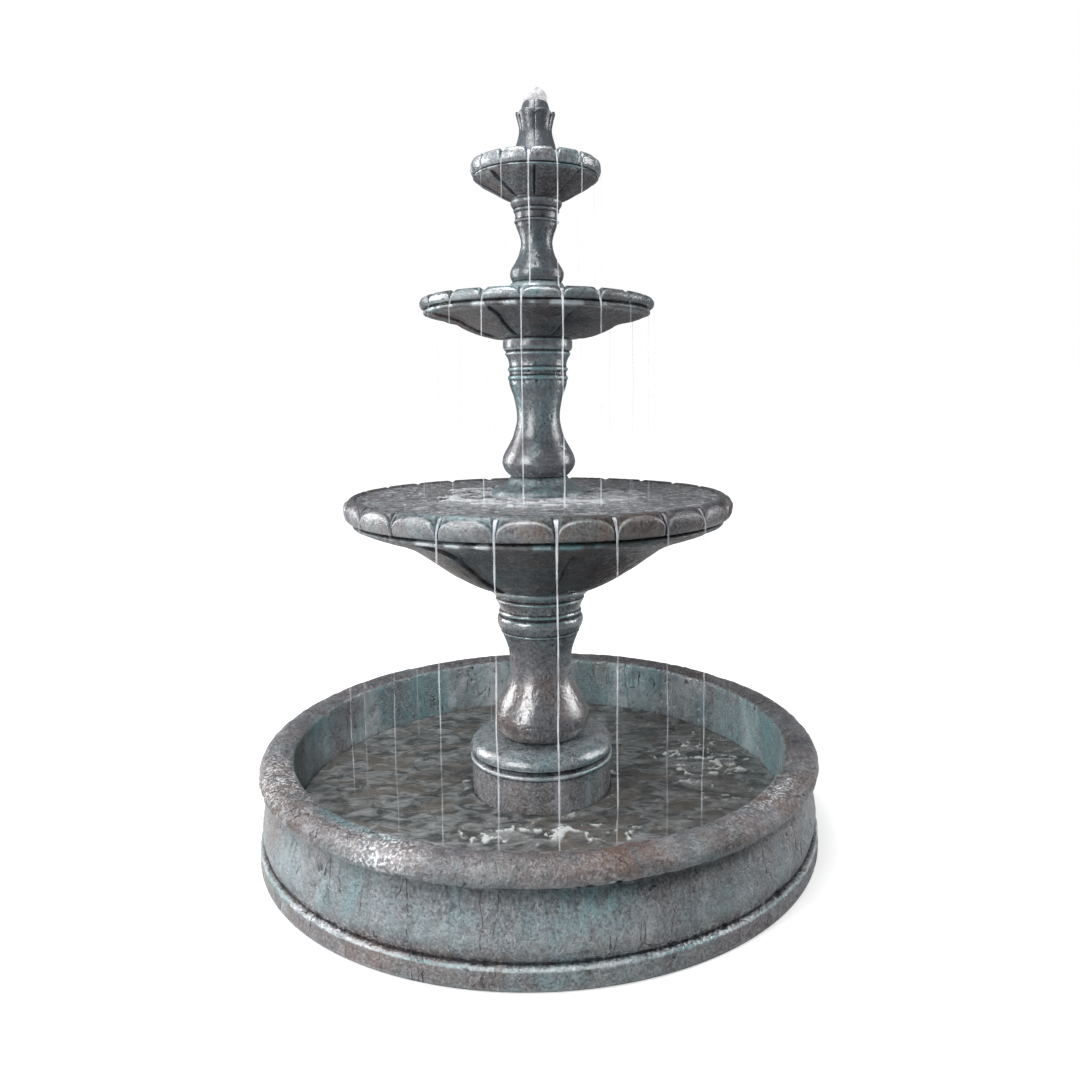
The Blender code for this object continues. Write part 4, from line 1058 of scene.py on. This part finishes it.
def bowl_foam(hub_r, outer):
    """Paler, churned water near the hub and a few flecks further out, with a painted glint ring round the hub and a
    painted reflection as a pale calm patch in front of it.
    """
    def foam(xyz):
        r = np.hypot(xyz[..., 0], xyz[..., 1])
        grain = layered(xyz, 0.022, 4, 223)
        lace = layered(xyz, 0.045, 4, 227)
        near = np.exp(-((r - hub_r - 0.03) / (0.22 * outer)) ** 2) * 0.65
        # Painted reflection: a pale calm patch in front of the hub.
        calm_front_reflection = np.exp(-((r - 1.6 * hub_r) / (0.17 * outer)) ** 2)
        calm_front_reflection = calm_front_reflection * step(0.0, -0.08, xyz[..., 1] - 0.4 * xyz[..., 0])
        web = np.clip(1 - np.abs(lace) * 3.0, 0, 1)
        calm = step(outer, outer - 0.03, r)
        # Painted highlight: a pale glint ring on the water round the hub.
        hub_ring_glint = 0.8 * np.exp(-((r - hub_r) / 0.005) ** 2)
        return step(0.45, 1.05, (0.36 + near) * (0.40 + 0.85 * grain + 0.75 * web)) * calm + hub_ring_glint + 0.5 * calm_front_reflection
    return foam


def make_water():
    lower = stream_places(LOWER_PETALS, LOWER_NOTCH)
    middle = stream_places(MIDDLE_PETALS, MIDDLE_NOTCH)
    upper = stream_places(UPPER_PETALS, UPPER_NOTCH)
    falling = thread_material()
    make_streams("lower_streams", lower, (0.498, 0.9185), 0.5215, 0.093, 0.0026, falling, 1)
    make_streams("middle_streams", middle, (0.294, 1.4385), 0.3125, 0.918, 0.0024, falling, 40)
    make_streams("upper_streams", upper, (0.158, 1.7885), 0.1725, 1.438, 0.0021, falling, 80)

    pool_hits = landing(lower, 0.5215)
    pool_water = water_material(
        "pool_water_surface", deep=(0.046, 0.050, 0.051), shine=(0.205, 0.212, 0.212),
        brown=(0.120, 0.105, 0.090), foam_colour=(0.62, 0.64, 0.63), glints=0.22)
    water_sheet("pool_water", 0.1955, 0.6655, 0.095, 0.02, 900, 0.0042, pool_water, pool_hits,
                0.0016, pool_foam(pool_hits), 211)

    bowl_water = water_material(
        "bowl_water_surface", deep=(0.022, 0.026, 0.028), shine=(0.19, 0.20, 0.21),
        brown=(0.12, 0.10, 0.10), foam_colour=(0.52, 0.53, 0.55),
        where=lambda s: spokes(s, 13, 42), glints=0.9)
    water_sheet("lower_bowl_water", 0.1275, 0.4885, 0.9192, 0.015, 620, 0.0042, bowl_water,
                landing(middle, 0.3125), 0.0013, bowl_foam(0.129, 0.4885), 229)
    water_sheet("middle_bowl_water", 0.0895, 0.2895, 1.4392, 0.010, 380, 0.0042, bowl_water,
                landing(upper, 0.1725), 0.0010, bowl_foam(0.09, 0.2895), 233)
    water_sheet("upper_bowl_water", 0.0612, 0.1540, 1.7908, 0.008, 240, 0.003, bowl_water,
                [], 0.0009, bowl_foam(0.062, 0.154), 239)


def make_bubble():
    """Water welling out of the spout: a wobbling dome with a few folds."""
    low, high = box_of("finial")
    count, rings = 96, 44
    radius, rise, sunk = 0.0305, 0.045, 0.008
    t = np.linspace(1, 0, rings)
    dome = np.sqrt(np.clip(1 - (np.clip(t - 0.36, 0, 1) / 0.64) ** 2.3, 0.003, 1))
    neck = 0.0250 + (radius - 0.0250) * step(0, 0.36, t)
    r = np.where(t > 0.36, radius * dome, neck)
    a = even(count)[:, None]
    z = np.broadcast_to(high.z - sunk + rise * t, (count, rings))
    xyz = np.stack([r[None, :] * np.cos(a), r[None, :] * np.sin(a), z], axis=-1)
    wobble = layered(xyz, 0.020, 3, 251) * 0.0015
    xyz = xyz + grid_normals(xyz, False) * wobble[..., None]
    mesh = grid_mesh("spout_bubble", xyz, False, {"foam": np.zeros((count, rings))})
    add_piece("spout_bubble", mesh, bubble_material())


# ---------------------------------------------------------------- rubber, plastic and metal

def moulded(name, colour, rough=0.42, grain=0.0004, metallic=0.0):
    """Moulded plastic, rubber, ceramic or metal, with fine texture, dust and handling wear."""
    s = Shader(name)
    cloud = s.noise(35, 5, 0.6)
    fine = s.noise(900, 3, 0.6)
    pale = tuple(min(1.0, c * 1.5 + 0.02) for c in colour)
    dull = tuple(c * 0.72 for c in colour)
    tone = s.mix(s.ramp(cloud, 0.35, 0.68), dull, colour)
    tone = s.mix(s.ramp(fine, 0.55, 0.75, 0, 0.45), tone, pale)
    roughness = s.ramp(cloud, 0.3, 0.7, rough - 0.08, rough + 0.12)
    return s.finish(Base_Color=tone, Roughness=roughness, Metallic=metallic,
                    Normal=s.bump(fine, grain, 0.6))


def brushed(name, colour):
    """Stainless steel with fine drawn lines."""
    s = Shader(name)
    lines = s.noise(700, 3, 0.6, s.stretched((1, 1, 12)))
    tone = s.mix(s.ramp(lines, 0.3, 0.7), tuple(c * 0.7 for c in colour), colour)
    rough = s.ramp(lines, 0.3, 0.7, 0.20, 0.38)
    return s.finish(Base_Color=tone, Roughness=rough, Metallic=1.0,
                    Normal=s.bump(lines, 0.0002, 0.5))


def finish_hardware():
    looks = {
        "rubber": moulded("black_rubber", (0.022, 0.022, 0.024), 0.62, 0.0006),
        "vinyl": moulded("cloudy_vinyl", (0.36, 0.41, 0.40), 0.30, 0.0002),
        "shim_plastic": moulded("shim_plastic_look", (0.07, 0.07, 0.08), 0.5),
        "pump_plastic": moulded("pump_plastic_look", (0.020, 0.022, 0.026), 0.38),
        "dial_plastic": moulded("dial_plastic_look", (0.03, 0.12, 0.30), 0.36),
        "impeller_plastic": moulded("impeller_plastic_look", (0.70, 0.70, 0.67), 0.40),
        "ferrite": moulded("ferrite_look", (0.045, 0.045, 0.047), 0.45, 0.0003, 0.2),
        "ceramic": moulded("ceramic_look", (0.80, 0.79, 0.76), 0.22, 0.0001),
        "stainless": brushed("stainless_look", (0.60, 0.61, 0.62))}
    slots = {entry["node"]: entry["material_slot"] for entry in frame["record"]["subparts"]}
    for name, node in frame["nodes"].items():
        material = looks.get(slots[name])
        if material:
            node.data.materials.clear()
            node.data.materials.append(material)


# ---------------------------------------------------------------- floor, light and camera

def make_stage():
    bm = bmesh.new()
    bmesh.ops.create_grid(bm, x_segments=1, y_segments=1, size=30)
    mesh = bpy.data.meshes.new("floor")
    bm.to_mesh(mesh)
    bm.free()
    floor = bpy.data.objects.new("floor", mesh)
    floor.location.z = CAD_BOX[0][2] - 0.001
    bpy.context.scene.collection.objects.link(floor)
    s = Shader("pale_floor")
    tone = s.mix(s.noise(2.0, 3), (0.46, 0.46, 0.46), (0.48, 0.48, 0.48))
    away = s.node("ShaderNodeVectorMath", {0: s.place}, operation="LENGTH").outputs["Value"]
    seen = s.node("ShaderNodeLightPath").outputs["Is Camera Ray"]
    glow = s.math("MULTIPLY", seen, s.ramp(away, 0.7, 2.2, 0.55, 1.0))
    mesh.materials.append(s.finish(Base_Color=tone, Roughness=0.8, Emission_Color=(1, 1, 1),
                                   Emission_Strength=glow))

    world = bpy.data.worlds.new("studio")
    bpy.context.scene.world = world
    world.use_nodes = True
    nodes, links = world.node_tree.nodes, world.node_tree.links
    seen, light = nodes["Background"], nodes.new("ShaderNodeBackground")
    seen.inputs["Color"].default_value = (1, 1, 1, 1)
    seen.inputs["Strength"].default_value = 1.0
    light.inputs["Color"].default_value = (0.93, 0.96, 1.0, 1)
    light.inputs["Strength"].default_value = 0.25
    pick, path = nodes.new("ShaderNodeMixShader"), nodes.new("ShaderNodeLightPath")
    links.new(path.outputs["Is Camera Ray"], pick.inputs[0])
    links.new(light.outputs[0], pick.inputs[1])
    links.new(seen.outputs[0], pick.inputs[2])
    links.new(pick.outputs[0], nodes["World Output"].inputs["Surface"])


def add_softbox(name, place, target, size, power, colour=(1, 1, 1)):
    data = bpy.data.lights.new(name, "AREA")
    data.shape = "RECTANGLE"
    data.size, data.size_y = size
    data.energy = power
    data.color = colour
    lamp = bpy.data.objects.new(name, data)
    lamp.location = place
    lamp.rotation_euler = (Vector(target) - Vector(place)).to_track_quat("-Z", "Y").to_euler()
    bpy.context.scene.collection.objects.link(lamp)


def make_lights():
    centre = (0, 0, 0.9)
    tall = (0.6, 2.3)
    for name, degrees, power in (("left_softbox", -106, 78), ("front_softbox", -42, 88),
                                 ("right_softbox", 98, 62)):
        turn = radians(degrees)
        place = (3.0 * sin(turn), -3.0 * cos(turn), 1.75)
        add_softbox(name, place, centre, tall, power)
    add_softbox("top_softbox", (-0.6, -1.0, 4.1), centre, (1.7, 1.7), 150)


def make_camera():
    data = bpy.data.cameras.new("camera")
    data.sensor_width = 36
    data.lens = 28.974
    data.shift_x, data.shift_y = -0.0304, -0.0389
    camera = bpy.data.objects.new("camera", data)
    camera.location = (0.0923, -2.3704, 1.1731)
    tilt = Matrix.Rotation(radians(83.659), 4, "X")
    roll = Matrix.Rotation(radians(-0.332), 4, "Z")
    camera.rotation_euler = (tilt @ roll).to_euler()
    bpy.context.scene.collection.objects.link(camera)
    bpy.context.scene.camera = camera


bpy.context.scene.view_settings.view_transform = "Standard"
make_pool()
make_housing()
make_columns()
make_bowls()
make_finial()
make_water()
make_bubble()
finish_hardware()
make_stage()
make_lights()
make_camera()
